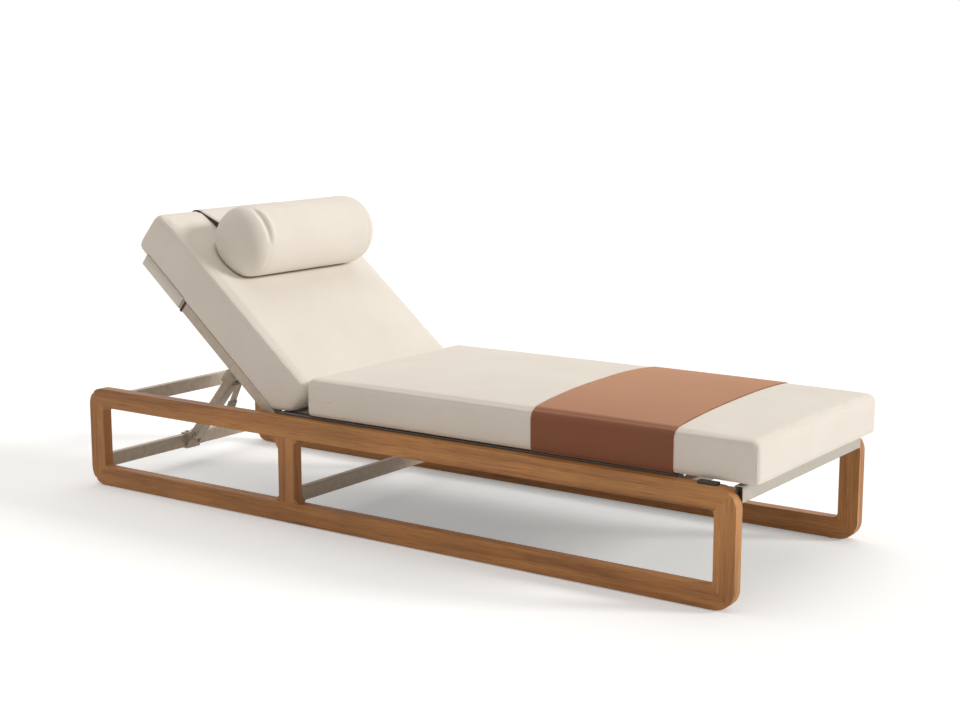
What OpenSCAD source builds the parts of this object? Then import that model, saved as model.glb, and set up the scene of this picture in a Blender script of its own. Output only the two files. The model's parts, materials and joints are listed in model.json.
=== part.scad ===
// Relaxation lounger: two teak side frames, aluminium cross bars and deck, a reclining back held
// by a telescopic stay with a grip lever, loose cushions and a neck roll on a weighted flap.
// Millimetres. +X points to the foot end, +Z up. The origin is on the floor under the middle.

/* [Teak side frames] */
// Length of each side frame
frame_len = 1990; // [1850:10:2100]
// Width over both side frames
frame_w = 700; // [660:10:780]
// Height of the frames' top face above the floor
frame_h = 275; // [262:1:300]
// Thickness of the boards
board_t = 30; // [28:1:36]
// Width of the rails and legs, seen from the side
rail_w = 52; // [48:1:60]
// Radius of the four outer corners
corner_r = 48; // [30:1:52]
// Radius of the inner corners
fillet_r = 14; // [8:1:20]
// Radius under the top rail on the head side of the middle leg
gusset_r = 30; // [14:1:40]
// Rounding of the boards' long edges
edge_r = 4; // [2:0.5:6]
// Distance from the head end to the middle of the middle leg
mid_leg_from_head = 724; // [690:2:760]

/* [Loose tenons] */
// Thickness of a tenon
tenon_t = 10; // [8:1:12]
// Width of a mitre tenon
tenon_w = 24; // [18:1:26]
// Length of a mitre tenon
tenon_len = 26; // [20:1:30]
// How far a mitre tenon sits in from the middle of the mitre
tenon_shift = 5; // [3:0.5:7]
// Width of a tenon at the middle leg
leg_tenon_w = 30; // [24:1:36]
// Length of a tenon at the middle leg
leg_tenon_len = 36; // [30:1:40]

/* [Cross bars] */
// Height of a cross bar
bar_h = 38; // [34:1:42]
// Thickness of a cross bar
bar_w = 20; // [18:1:24]
// Wall of all the square tubes
tube_wall = 2; // [1.6:0.2:3]
// Corner radius of the cross bars
bar_r = 3; // [2.6:0.2:5]
// Distance from the head end to the middle of the two head bars
head_bar_inset = 34; // [30:1:36]
// Underside of the lower bars
low_bar_z = 48; // [44:1:60]
// Distance from the frames' top face down to the upper head bar
high_bar_drop = 27; // [25:1:40]
// How far the bars are housed in the boards
housing = 8; // [5:1:8]

/* [Seat deck] */
// Height of the cushions' underside above the frames' top face
deck_rise = 6; // [5:0.5:9]
// Size of the deck's square side tubes
deck_tube = 28; // [26:1:30]
// Distance from the foot end to the deck's last cross piece
deck_end_inset = 160; // [140:5:200]
// Width of a slat
slat_w = 50; // [40:2:60]
// Thickness of a slat
slat_t = 12; // [10:1:14]
// Largest distance from slat to slat
slat_pitch = 92; // [80:2:120]
// Height of a bearer under the deck
bearer_h = 24; // [20:1:26]
// Width of a bearer under the deck
bearer_w = 30; // [26:1:36]

/* [Back] */
// Distance from the head end to the back's hinge
hinge_from_head = 645; // [632:1:660]
// Tilt of the back in its highest position
rest_angle = 40; // [34:1:42]
// Length of the back's frame from its hinge
back_len = 580; // [560:5:600]
// Depth of the back's tubes
back_tube_h = 30; // [28:1:32]
// Width of the back's tubes
back_tube_w = 28; // [26:1:30]
// Diameter of the hinge pins
hinge_pin_d = 10; // [8:1:12]
// Thickness of a hinge plate
hinge_plate_t = 5; // [4:0.5:6]
// Thickness of a bush flange
flange_t = 2.5; // [2:0.5:3]

/* [Stay] */
// Distance along the back from its hinge to the stay's head pin
stay_up_back = 333; // [326:1:338]
// Distance from the middle of the back's tubes down to the stay's head pin
stay_drop = 37; // [36:0.5:40]
// Distance from the lower head bar to the stay's foot pins
foot_pin_out = 21; // [20:0.5:24]
// Diameter of the pins at the stay's ends
stay_pin_d = 8; // [6:0.5:9]
// Width of the sleeve across the lounger
sleeve_w = 40; // [38:1:44]
// Depth of the sleeve
sleeve_d = 26; // [25:1:28]
// Thickness of the sliding bar
slide_t = 12; // [10:0.5:13]
// Depth of the sliding bar
slide_d = 18; // [16:0.5:18]
// Radius of the eye at the sliding bar's head
eye_r = 12; // [10:0.5:12]
// Distance from the foot pins to the far end of the lock head
lock_end = 255; // [250:1:258]
// Length of the lock head's body
lock_len = 37; // [35:1:40]
// Tilt of the lever's grip plate while it holds the bar
grip_angle = 7; // [5:0.5:8]
// Thickness of the lever's grip plate and handle
lever_t = 3.5; // [3:0.25:4]
// Length of the lever's handle
handle_len = 96; // [80:2:110]
// Spread of the handle from the sleeve
handle_spread = 14; // [8:1:18]

/* [Cushions] */
// How far the seat cushion stays inside the frames' outer faces
cushion_side_gap = 20; // [10:1:30]
// How far the back cushion stays inside the seat cushion's sides
back_cushion_inset = 12; // [0:1:24]
// Thickness of the seat cushion
seat_cushion_t = 100; // [90:1:110]
// Overhang of the seat cushion past the foot end
cushion_overhang = 40; // [20:1:60]
// Distance from the hinge to the seat cushion's head end
seat_cushion_start = 127; // [124:1:140]
// Thickness of the back cushion
back_cushion_t = 124; // [112:1:126]
// Overhang of the back cushion past the back's frame
back_cushion_over = 47; // [36:1:50]
// Room between the back cushion's lower end and the seat cushion
cushion_gap = 3; // [1:0.5:8]
// Rounding of the cushions' edges
cushion_r = 20; // [14:1:28]
// Distance from the foot end to the coloured band
band_from_foot = 165; // [150:5:240]
// Width of the coloured band
band_w = 370; // [300:5:420]
// Thickness of the band's cloth
band_t = 2; // [1.5:0.5:3]

/* [Neck roll] */
// Radius of the neck roll
roll_r = 98; // [85:1:102]
// Distance from the neck roll's ends to the back cushion's sides
roll_side_gap = 72; // [50:1:100]
// Distance along the back from its frame's top end down to the neck roll's middle
roll_from_top = 167; // [158:1:178]
// How far the neck roll's round is pressed flat by the cushion
roll_sink = 22; // [12:1:26]
// Width of the flap
flap_w = 330; // [240:5:360]
// Thickness of the flap
flap_t = 3; // [2:0.5:4]

/* [Hidden] */
$fn = 48;

eps = 0.01;          // keeps cutters clear of the faces they pass through
big = 4000;          // larger than the whole lounger
glide_proud = 2;     // height of the glides under the frames
glue_gap = 0.1;      // room around a tenon or a housed bar
soft_gap = 0.3;      // room between a soft piece and a moving neighbour
run_gap = 0.05;      // radial clearance of a running pin

// ---- places worked out from the sizes ----
head_x = -(frame_len + cushion_overhang) / 2;
foot_x = head_x + frame_len;
inner_y = frame_w / 2 - board_t;                  // inner face of the boards
cushion_w = frame_w - 2 * cushion_side_gap;
roll_len = cushion_w - 2 * roll_side_gap;
deck_z = frame_h + deck_rise;                     // underside of both cushions
mid_x = head_x + mid_leg_from_head;
head_bar_x = head_x + head_bar_inset;
hinge_x = head_x + hinge_from_head;
hinge_z = deck_z - back_tube_h / 2;
low_bar_mid_z = low_bar_z + bar_h / 2;
high_bar_z = frame_h - high_bar_drop - bar_h;
hinge_to_deck = 38;                               // keeps the deck clear of the back's eyes
high_bar_mid_z = high_bar_z + bar_h / 2;
foot_bar_z = frame_h - bar_h + glide_proud;       // underside of the foot bar
bar_reach = inner_y + housing;                    // half the length of a housed bar

// ---- general shapes ----
module rounded_rect(w, h, r) {
    square([w - 2 * r, h], center = true);
    square([w, h - 2 * r], center = true);
    for (sx = [-1, 1], sy = [-1, 1]) translate([sx * (w / 2 - r), sy * (h / 2 - r)]) circle(r);
}
module tube_section(w, h, r, wall) {
    difference() {
        rounded_rect(w, h, r);
        rounded_rect(w - 2 * wall, h - 2 * wall, max(r - wall, 0.4));
    }
}
// Turns a drawing in X and Y into a solid drawn in X and Z, from y0 to y1.
module side_extrude(y0, y1) {
    translate([0, y1, 0]) rotate([90, 0, 0]) linear_extrude(y1 - y0) children();
}
// Turns a drawing in X and Y into a solid whose section lies in Y and Z, from x0 to x1.
module cross_extrude(x0, x1) {
    translate([x0, 0, 0]) rotate([90, 0, 90]) linear_extrude(x1 - x0) children();
}
module both_sides() {
    children();
    mirror([0, 1, 0]) children();
}
// A round bar from y0 to y1.
module y_rod(y0, y1, d) {
    translate([0, y0, 0]) rotate([-90, 0, 0]) cylinder(h = y1 - y0, d = d);
}
// A closed strip of thickness t along a list of points.
module strip(points, t) {
    for (i = [0 : len(points) - 2]) {
        step = points[i + 1] - points[i];
        translate(points[i]) rotate(atan2(step.y, step.x))
            translate([0, -t / 2]) square([norm(step), t]);
    }
    for (p = points) translate(p) circle(t / 2);
}
module cushion_block(x0, x1, w, z0, z1, r) {
    translate([(x0 + x1) / 2, 0, (z0 + z1) / 2]) intersection() {
        side_extrude(-w / 2, w / 2) rounded_rect(x1 - x0, z1 - z0, r);
        cross_extrude((x0 - x1) / 2, (x1 - x0) / 2) rounded_rect(w, z1 - z0, r);
        translate([0, 0, (z0 - z1) / 2]) linear_extrude(z1 - z0) rounded_rect(x1 - x0, w, r);
    }
}

// ---- teak side frames ----
teak = [0.62, 0.42, 0.26];
frame_z0 = glide_proud;
frame_mid_z = (frame_z0 + frame_h) / 2;
rail_in_top = frame_h - rail_w;                   // inner edge of the top rail
rail_in_low = frame_z0 + rail_w;                  // inner edge of the bottom rail
window_h = rail_in_top - rail_in_low;
mid_leg_x0 = mid_x - rail_w / 2;
mid_leg_x1 = mid_x + rail_w / 2;

module window(x0, x1, head_top_r, foot_top_r) {
    difference() {
        translate([x0, rail_in_low]) square([x1 - x0, window_h]);
        for (c = [[x0, rail_in_low, fillet_r, 1, 1], [x1, rail_in_low, fillet_r, -1, 1],
                  [x0, rail_in_top, head_top_r, 1, -1], [x1, rail_in_top, foot_top_r, -1, -1]])
            translate([c[0], c[1]]) scale([c[3], c[4]]) difference() {
                translate([-1, -1]) square(c[2] + 1);
                translate([c[2], c[2]]) circle(c[2]);
            }
    }
}
module frame_outline() {
    difference() {
        translate([(head_x + foot_x) / 2, frame_mid_z])
            rounded_rect(frame_len, frame_h - frame_z0, corner_r);
        window(head_x + rail_w, mid_leg_x0, fillet_r, gusset_r);
        window(mid_leg_x1, foot_x - rail_w, fillet_r, fillet_r);
    }
}
// The part of the outline that belongs to one rail: everything above the two mitres.
mitre_reach = rail_w + fillet_r;
module rail_region(top) {
    z_out = top ? frame_h : frame_z0;
    z_in = top ? frame_h - mitre_reach : frame_z0 + mitre_reach;
    z_flat = top ? rail_in_top : rail_in_low;
    side = top ? -1 : 1;
    difference() {
        polygon([[head_x, z_out], [head_x + mitre_reach, z_in], [foot_x - mitre_reach, z_in],
                 [foot_x, z_out]]);
        translate([mid_x - rail_w / 2 - gusset_r - 1, top ? z_in - 1 : z_flat])
            square([rail_w + 2 * gusset_r + 2, mitre_reach - rail_w + 1]);
    }
}
module end_leg_region(at_head) {
    x_out = at_head ? head_x : foot_x;
    way = at_head ? 1 : -1;
    polygon([[x_out, frame_h], [x_out + way * mitre_reach, frame_h - mitre_reach],
             [x_out + way * mitre_reach, frame_z0 + mitre_reach], [x_out, frame_z0]]);
}
module middle_leg_region() {
    translate([mid_leg_x0 - gusset_r - 1, rail_in_low])
        square([rail_w + 2 * gusset_r + 2, window_h]);
}
board_y = -frame_w / 2 + board_t / 2;             // middle of the near boards
module rail_board(mid_z) {
    translate([0, board_y, mid_z]) cross_extrude(head_x - 1, foot_x + 1)
        rounded_rect(board_t, rail_w, edge_r);
}
module rail_blank(top) {
    intersection() {
        side_extrude(-frame_w / 2, -inner_y) intersection() {
            frame_outline();
            rail_region(top);
        }
        union() {
            rail_board(top ? frame_h - rail_w / 2 : frame_z0 + rail_w / 2);
            // the fillets reach past the board's rounded edge
            translate([0, board_y, 0]) fillet_stock(top);
        }
    }
}
module fillet_stock(top) {
    z = top ? frame_h - mitre_reach - 1 : rail_in_low - edge_r;
    for (x = [head_x, foot_x - rail_w - fillet_r - 1]) translate([x, -board_t / 2, z])
        cube([rail_w + fillet_r + 1, board_t, fillet_r + 1 + edge_r]);
}
module leg_blank(at_head) {
    leg_mid = at_head ? head_x + rail_w / 2 : foot_x - rail_w / 2;
    stock_x = at_head ? head_x + rail_w - edge_r : foot_x - rail_w - fillet_r - 1;
    intersection() {
        side_extrude(-frame_w / 2, -inner_y) intersection() {
            frame_outline();
            end_leg_region(at_head);
        }
        union() {
            translate([leg_mid, board_y, 0]) linear_extrude(frame_h)
                rounded_rect(rail_w, board_t, edge_r);
            for (z = [frame_z0, frame_h - rail_w - fillet_r - 1])
                translate([stock_x, board_y - board_t / 2, z])
                    cube([fillet_r + 1 + edge_r, board_t, rail_w + fillet_r + 1]);
        }
    }
}
module middle_leg_blank() {
    intersection() {
        side_extrude(-frame_w / 2, -inner_y) intersection() {
            frame_outline();
            middle_leg_region();
        }
        union() {
            translate([mid_x, board_y, 0]) linear_extrude(frame_h)
                rounded_rect(rail_w, board_t, edge_r);
            for (z = [rail_in_low - 1, rail_in_top - gusset_r])
                translate([mid_leg_x0 - gusset_r - 1, board_y - board_t / 2, z])
                    cube([rail_w + 2 * gusset_r + 2, board_t, gusset_r + 1]);
        }
    }
}

// Tenons: [x, z, turn, width, length] of each one in a side frame.
half_mitre = rail_w / 2 + tenon_shift / sqrt(2);
tenon_places = [
    [head_x + half_mitre, frame_h - half_mitre, 45, tenon_w, tenon_len],
    [foot_x - half_mitre, frame_h - half_mitre, -45, tenon_w, tenon_len],
    [head_x + half_mitre, frame_z0 + half_mitre, -45, tenon_w, tenon_len],
    [foot_x - half_mitre, frame_z0 + half_mitre, 45, tenon_w, tenon_len],
    [mid_x, rail_in_top, 90, leg_tenon_w, leg_tenon_len],
    [mid_x, rail_in_low, 90, leg_tenon_w, leg_tenon_len]
];
module tenon(place, gap) {
    w = place[3] + 2 * gap;
    t = tenon_t + 2 * gap;
    length = place[4] + 2 * gap;
    translate([place[0], board_y, place[1]]) rotate([0, -place[2], 0])
        cross_extrude(-length / 2, length / 2) {
            square([t, w - t], center = true);
            for (s = [-1, 1]) translate([0, s * (w - t) / 2]) circle(t / 2);
        }
}
module mortises(which) {
    for (i = which) tenon(tenon_places[i], glue_gap);
}

// Pockets and screw holes for the bars, in the near side frame.
module bar_pocket(x, mid_z) {
    translate([x, -inner_y - housing - glue_gap, mid_z]) rotate([-90, 0, 0])
        linear_extrude(housing + glue_gap + 1)
            rounded_rect(bar_w + 2 * glue_gap, bar_h + 2 * glue_gap, bar_r);
}
module bearer_pocket(x) {
    translate([x, -inner_y - housing - glue_gap, bearer_mid_z]) rotate([-90, 0, 0])
        linear_extrude(housing + glue_gap + 1)
            rounded_rect(bearer_w + 2 * glue_gap, bearer_h + 2 * glue_gap, bar_r);
}
screw_d = 4.5;
screw_head_d = 7.5;
screw_head_t = 3;
screw_sink = 5;                                   // the heads lie below the board's face
screw_bite = 8;                                   // length of a screw inside its bar
screw_y = inner_y + housing / 2;
bar_screw_places = [                              // [board face x, bar x, z]
    [head_x, head_bar_x, low_bar_mid_z],
    [head_x, head_bar_x, high_bar_z + 2 * screw_head_d / 3 + bar_r],
    [mid_leg_x0, mid_x, low_bar_mid_z]
];
module bar_screw(place, gap) {
    reach = place[1] - bar_w / 2 + screw_bite - place[0];
    translate([place[0], -screw_y, place[2]]) rotate([0, 90, 0]) {
        translate([0, 0, screw_sink]) cylinder(h = reach - screw_sink, d = screw_d + 2 * gap);
        translate([0, 0, gap > 0 ? -1 : screw_sink])
            cylinder(h = screw_head_t + (gap > 0 ? 1 + screw_sink : 0), d = screw_head_d + 2 * gap);
    }
}

module near_top_rail() {
    color(teak) difference() {
        rail_blank(true);
        mortises([0, 1, 4]);
        bar_pocket(head_bar_x, high_bar_mid_z);
        for (x = bearer_xs) bearer_pocket(x);
        near_hinge_hole();
        rest_screws();
        for (x = angle_screw_xs) translate([x, 0, angle_mid_z]) angle_board_screw();
    }
}
module near_bottom_rail() {
    color(teak) difference() {
        rail_blank(false);
        mortises([2, 3, 5]);
        bar_pocket(mid_x, low_bar_mid_z);
        for (x = glide_xs) translate([x, board_y, 0]) glide_hole();
    }
}
module near_head_leg() {
    color(teak) difference() {
        leg_blank(true);
        mortises([0, 2]);
        bar_pocket(head_bar_x, high_bar_mid_z);
        bar_pocket(head_bar_x, low_bar_mid_z);
        for (i = [0, 1]) bar_screw(bar_screw_places[i], glue_gap);
    }
}
module near_middle_leg() {
    color(teak) difference() {
        middle_leg_blank();
        mortises([4, 5]);
        bar_pocket(mid_x, low_bar_mid_z);
        bar_screw(bar_screw_places[2], glue_gap);
    }
}
module near_foot_leg() {
    color(teak) difference() {
        leg_blank(false);
        mortises([1, 3]);
    }
}
module far_top_rail() { mirror([0, 1, 0]) near_top_rail(); }
module far_bottom_rail() { mirror([0, 1, 0]) near_bottom_rail(); }
module far_head_leg() { mirror([0, 1, 0]) near_head_leg(); }
module far_middle_leg() { mirror([0, 1, 0]) near_middle_leg(); }
module far_foot_leg() { mirror([0, 1, 0]) near_foot_leg(); }
module loose_tenons() {
    color([0.72, 0.56, 0.36]) both_sides() for (place = tenon_places) tenon(place, 0);
}

// ---- glides ----
glide_d = 22;
glide_stem_d = 8;
glide_stem = 14;
glide_inset = 70;
glide_xs = [head_x + glide_inset, mid_x, foot_x - glide_inset];
module glide_hole() { translate([0, 0, -1]) cylinder(h = glide_stem + 1, d = glide_stem_d); }
module floor_glides() {
    color("dimgray") both_sides() for (x = glide_xs) translate([x, board_y, 0]) {
        cylinder(h = glide_proud, d = glide_d);
        cylinder(h = glide_stem, d = glide_stem_d);
    }
}

// ---- cross bars ----
bar_grey = [0.58, 0.54, 0.49];
module cross_bar(x, mid_z, reach) {
    translate([x, -reach, mid_z]) rotate([-90, 0, 0]) linear_extrude(2 * reach)
        tube_section(bar_w, bar_h, bar_r, tube_wall);
}
module head_upper_bar() {
    color(bar_grey) difference() {
        cross_bar(head_bar_x, high_bar_mid_z, bar_reach);
        both_sides() bar_screw(bar_screw_places[1], 0);
    }
}
module head_lower_bar() {
    color(bar_grey) difference() {
        cross_bar(head_bar_x, low_bar_mid_z, bar_reach);
        both_sides() bar_screw(bar_screw_places[0], 0);
        foot_bolt_holes();
    }
}
module middle_bar() {
    color(bar_grey) difference() {
        cross_bar(mid_x, low_bar_mid_z, bar_reach);
        both_sides() bar_screw(bar_screw_places[2], 0);
    }
}
module bar_screws() {
    color("silver") both_sides() for (place = bar_screw_places) bar_screw(place, 0);
}

foot_bar_x = foot_x - bar_w / 2;
foot_bar_mid_z = foot_bar_z + bar_h / 2;
module foot_bar() {
    color(bar_grey) difference() {
        cross_bar(foot_bar_x, foot_bar_mid_z, inner_y);
        both_sides() for (y = angle_screw_ys) translate([0, y, angle_mid_z]) angle_bar_screw();
    }
}
// Angles behind the foot bar, one at each end.
angle_t = 4;
angle_len = 40;
angle_h = 28;
angle_mid_z = foot_bar_mid_z;
angle_screw_d = 4;
angle_screw_len = 9;
angle_head_d = 7.5;
angle_head_t = 2;
angle_x1 = foot_x - bar_w;
angle_screw_xs = [angle_x1 - angle_len + 8, angle_x1 - angle_len / 2 + 4];
angle_screw_ys = [-inner_y + 14, -inner_y + 30];
module angle_board_screw() {
    y_in = -inner_y + angle_t;
    translate([0, y_in - angle_screw_len, 0]) y_rod_here(angle_screw_len, angle_screw_d);
    translate([0, y_in, 0]) y_rod_here(angle_head_t, angle_head_d);
}
module y_rod_here(length, d) { rotate([-90, 0, 0]) cylinder(h = length, d = d); }
module angle_bar_screw() {
    translate([angle_x1 - angle_t, 0, 0]) rotate([0, 90, 0])
        cylinder(h = angle_t + tube_wall + 2, d = angle_screw_d);
    translate([angle_x1 - angle_t - angle_head_t, 0, 0]) rotate([0, 90, 0])
        cylinder(h = angle_head_t, d = angle_head_d);
}
module foot_bar_angles() {
    color("silver") both_sides() difference() {
        translate([angle_x1 - angle_len, -inner_y, angle_mid_z - angle_h / 2]) difference() {
            cube([angle_len, angle_len, angle_h]);
            translate([-1, angle_t, -1]) cube([angle_len - angle_t + 1, angle_len, angle_h + 2]);
        }
        for (x = angle_screw_xs) translate([x, 0, angle_mid_z]) angle_board_screw();
        for (y = angle_screw_ys) translate([0, y, angle_mid_z]) angle_bar_screw();
    }
}
module foot_bar_screws() {
    color("gray") both_sides() {
        for (x = angle_screw_xs) translate([x, 0, angle_mid_z]) angle_board_screw();
        for (y = angle_screw_ys) translate([0, y, angle_mid_z]) angle_bar_screw();
    }
}

// ---- seat deck ----
deck_grey = [0.66, 0.62, 0.57];
deck_tube_z = deck_z - deck_tube / 2;             // middle of the side tubes
deck_in_y = inner_y - deck_tube;                  // inner face of the side tubes
bearer_mid_z = deck_z - deck_tube - bearer_h / 2;
deck_x0 = hinge_x + hinge_to_deck;
deck_x1 = foot_x - deck_end_inset;
bearer_xs = [deck_x0 + bearer_w / 2 + 5, (deck_x0 + deck_x1) / 2, deck_x1 - bearer_w / 2 - 5];
slat_span = deck_x1 - deck_x0 - slat_w - 10;
slat_count = ceil(slat_span / slat_pitch) + 1;
slat_xs = [for (i = [0 : slat_count - 1]) deck_x0 + 5 + slat_w / 2
                                          + i * slat_span / (slat_count - 1)];
slat_r = 2.6;
module deck_bearers() {
    color(bar_grey) difference() {
        for (x = bearer_xs) translate([x, -bar_reach, bearer_mid_z]) rotate([-90, 0, 0])
            linear_extrude(2 * bar_reach) tube_section(bearer_w, bearer_h, bar_r, tube_wall);
        deck_bolt_shanks();
    }
}
module deck_side_tubes() {
    color(deck_grey) difference() {
        both_sides() translate([0, -inner_y + deck_tube / 2, deck_tube_z])
            cross_extrude(deck_x0, deck_x1) tube_section(deck_tube, deck_tube, bar_r, tube_wall);
        deck_bolt_shanks();
    }
}
module cross_slat(reach) {
    translate([0, -reach, -slat_t / 2]) rotate([-90, 0, 0]) linear_extrude(2 * reach)
        tube_section(slat_w, slat_t, slat_r, tube_wall);
}
module deck_slats() {
    color(deck_grey) for (x = slat_xs) translate([x, 0, deck_z]) cross_slat(deck_in_y);
}
bolt_d = 6;
bolt_head_d = 11;
bolt_head_t = 3;
nut_t = 5;
deck_bolt_y = inner_y - deck_tube / 2;
deck_bolt_z0 = bearer_mid_z - bearer_h / 2;
deck_nut_z = deck_z - deck_tube + tube_wall;
module deck_bolt_shanks() {
    both_sides() for (x = bearer_xs) translate([x, -deck_bolt_y, deck_bolt_z0])
        cylinder(h = deck_nut_z + nut_t - deck_bolt_z0, d = bolt_d);
}
module deck_bolts() {
    color("silver") {
        deck_bolt_shanks();
        both_sides() for (x = bearer_xs) translate([x, -deck_bolt_y, 0]) {
            translate([0, 0, deck_bolt_z0 - bolt_head_t]) cylinder(h = bolt_head_t, d = bolt_head_d);
            translate([0, 0, deck_nut_z]) cylinder(h = nut_t, d = bolt_head_d, $fn = 6);
        }
    }
}
// Plastic caps in the open ends of the deck's side tubes.
cap_t = 3;
cap_plug = 12;
module tube_cap(w, h) {
    linear_extrude(cap_t) rounded_rect(w, h, bar_r);
    translate([0, 0, -cap_plug]) linear_extrude(cap_plug)
        rounded_rect(w - 2 * tube_wall - 0.2, h - 2 * tube_wall - 0.2, bar_r - tube_wall);
}
module tube_caps() {
    color("dimgray") both_sides() translate([0, -inner_y + deck_tube / 2, deck_tube_z]) {
        translate([deck_x1, 0, 0]) rotate([90, 0, 90]) tube_cap(deck_tube, deck_tube);
        translate([deck_x0, 0, 0]) rotate([90, 0, -90]) tube_cap(deck_tube, deck_tube);
    }
}
// Pads on the top rails that carry the cushion's foot end.
pad_len = 48;
pad_w = 20;
pad_from_end = 50;
module cushion_pads() {
    color("dimgray") both_sides()
        translate([foot_x - pad_from_end - pad_len / 2, board_y, frame_h])
            linear_extrude(deck_rise) rounded_rect(pad_len, pad_w, 4);
}

// ---- hinge ----
hinge_plate_y = inner_y - hinge_plate_t;          // inner face of a hinge plate
plate_r = 12;
plate_down = 32;
plate_x0 = -20;
plate_x1 = hinge_to_deck - cap_t - 1;
plate_corner_r = 5;
plate_screw_edge = 7;                             // from a plate's edge to a screw's middle
eye_y1 = hinge_plate_y - flange_t - 0.5;          // outer face of the back's tubes
eye_y0 = eye_y1 - back_tube_w;                    // inner face of the back's tubes
pin_in_board = 6;
clip_t = 1.5;
clip_d = hinge_pin_d + 8;
pin_tip_y = eye_y0 - flange_t - clip_t - 2;
plate_screw_low = plate_screw_edge - plate_down;
hinge_screw_places = [
    [plate_x0 + plate_screw_edge, plate_screw_low], [(plate_x0 + plate_x1) / 2, plate_screw_low],
    [plate_x1 - plate_screw_edge, plate_screw_low], [plate_x1 - plate_screw_edge, -plate_screw_edge]
];
hinge_screw_d = 4;
hinge_screw_len = 14;
hinge_screw_head_d = 7;
hinge_screw_head_t = 0.4;
module near_hinge_hole() {
    translate([hinge_x, -inner_y - pin_in_board, hinge_z]) y_rod_here(pin_in_board + 1, hinge_pin_d);
    for (p = hinge_screw_places) translate([hinge_x + p[0], 0, hinge_z + p[1]]) hinge_screw();
}
module hinge_screw() {
    translate([0, -hinge_plate_y - hinge_screw_len, 0]) y_rod_here(hinge_screw_len, hinge_screw_d);
    translate([0, -hinge_plate_y, 0]) y_rod_here(hinge_screw_head_t, hinge_screw_head_d);
}
module hinge_plates() {
    color("silver") both_sides() translate([hinge_x, 0, hinge_z]) difference() {
        side_extrude(-inner_y, -hinge_plate_y) {
            circle(plate_r);
            translate([-plate_r, plate_corner_r - plate_down])
                square([2 * plate_r, plate_down - plate_corner_r]);
            translate([(plate_x0 + plate_x1) / 2, -plate_down / 2])
                rounded_rect(plate_x1 - plate_x0, plate_down, plate_corner_r);
        }
        translate([0, -inner_y - 1, 0]) y_rod_here(hinge_plate_t + 2, hinge_pin_d);
        translate([-hinge_x, 0, -hinge_z]) for (p = hinge_screw_places)
            translate([hinge_x + p[0], 0, hinge_z + p[1]]) hinge_screw();
    }
}
module board_screws() {
    color("gray") both_sides() {
        for (p = hinge_screw_places) translate([hinge_x + p[0], 0, hinge_z + p[1]]) hinge_screw();
        rest_screws();
    }
}
module hinge_pins() {
    color("silver") both_sides() translate([hinge_x, -inner_y - pin_in_board, hinge_z]) difference() {
        y_rod_here(inner_y + pin_in_board - pin_tip_y, hinge_pin_d);
        translate([0, inner_y + pin_in_board - pin_tip_y - 2 - clip_t, 0]) difference() {
            y_rod_here(clip_t, hinge_pin_d + 2);
            y_rod_here(clip_t, hinge_pin_d - 2);
        }
    }
}
module hinge_clips() {
    color("dimgray") both_sides() translate([hinge_x, -pin_tip_y - 2 - clip_t, hinge_z])
        difference() {
            y_rod_here(clip_t, clip_d);
            translate([0, -1, 0]) y_rod_here(clip_t + 2, hinge_pin_d - 2);
        }
}
// Blocks on the top rails that the back's frame lies on when it is flat.
rest_len = 40;
rest_h = 24;
rest_back = 540;                                  // distance from the hinge
hood_t = 2;
rest_z1 = hinge_z - back_tube_h / 2 - hood_t - soft_gap;
module rest_screws() {
    for (s = [-1, 1]) translate([hinge_x - rest_back + s * rest_len / 4, 0, rest_z1 - rest_h / 2]) {
        translate([0, -inner_y - hinge_screw_len, 0])
            y_rod_here(deck_tube + hinge_screw_len - 2, hinge_screw_d);
        translate([0, -inner_y + deck_tube - 4, 0]) y_rod_here(2, hinge_screw_head_d);
    }
}
module back_rests() {
    color("dimgray") both_sides() difference() {
        translate([hinge_x - rest_back, -inner_y + deck_tube / 2, rest_z1 - rest_h])
            linear_extrude(rest_h) rounded_rect(rest_len, deck_tube, 3);
        rest_screws();
        for (s = [-1, 1])
            translate([hinge_x - rest_back + s * rest_len / 4, -inner_y + deck_tube - 4,
                       rest_z1 - rest_h / 2]) y_rod_here(5, hinge_screw_head_d);
    }
}

// ---- back: drawn flat, towards -X from the hinge, then tilted ----
module on_back(angle = rest_angle) {
    translate([hinge_x, 0, hinge_z]) rotate([0, angle, 0]) children();
}
tube_start = 20;                                  // the side tubes start here, past the eyes
eye_spigot = 18;
module back_side_tubes() {
    color(bar_grey) on_back() both_sides() translate([0, -(eye_y0 + eye_y1) / 2, 0])
        cross_extrude(-back_len, -tube_start) tube_section(back_tube_w, back_tube_h, bar_r, tube_wall);
}
stay_tube_u = stay_up_back - 26;                  // the tube that carries the stay's bracket
low_tube_u = tube_start + back_tube_w / 2 + 10;
top_tube_u = back_len - back_tube_w / 2;
module back_cross_tubes() {
    color(bar_grey) on_back() difference() {
        for (u = [low_tube_u, stay_tube_u, top_tube_u]) translate([-u, -eye_y0, 0])
            rotate([-90, 0, 0]) linear_extrude(2 * eye_y0)
                tube_section(back_tube_w, back_tube_h, bar_r, tube_wall);
        head_bracket_screws(screw_cut = true);
    }
}
back_slat_pitch = 90;
function slats_between(u0, u1) =
    let (room = u1 - u0 - back_tube_w, n = floor(room / back_slat_pitch))
    [for (i = [1 : n]) u0 + back_tube_w / 2 + i * room / (n + 1)];
back_slat_us = concat(slats_between(low_tube_u, stay_tube_u), slats_between(stay_tube_u, top_tube_u));
module back_slats() {
    color(deck_grey) on_back() for (u = back_slat_us)
        translate([-u, 0, back_tube_h / 2]) cross_slat(eye_y0);
}
bush_t = 2;
bush_d = hinge_pin_d + 2 * bush_t;
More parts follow.
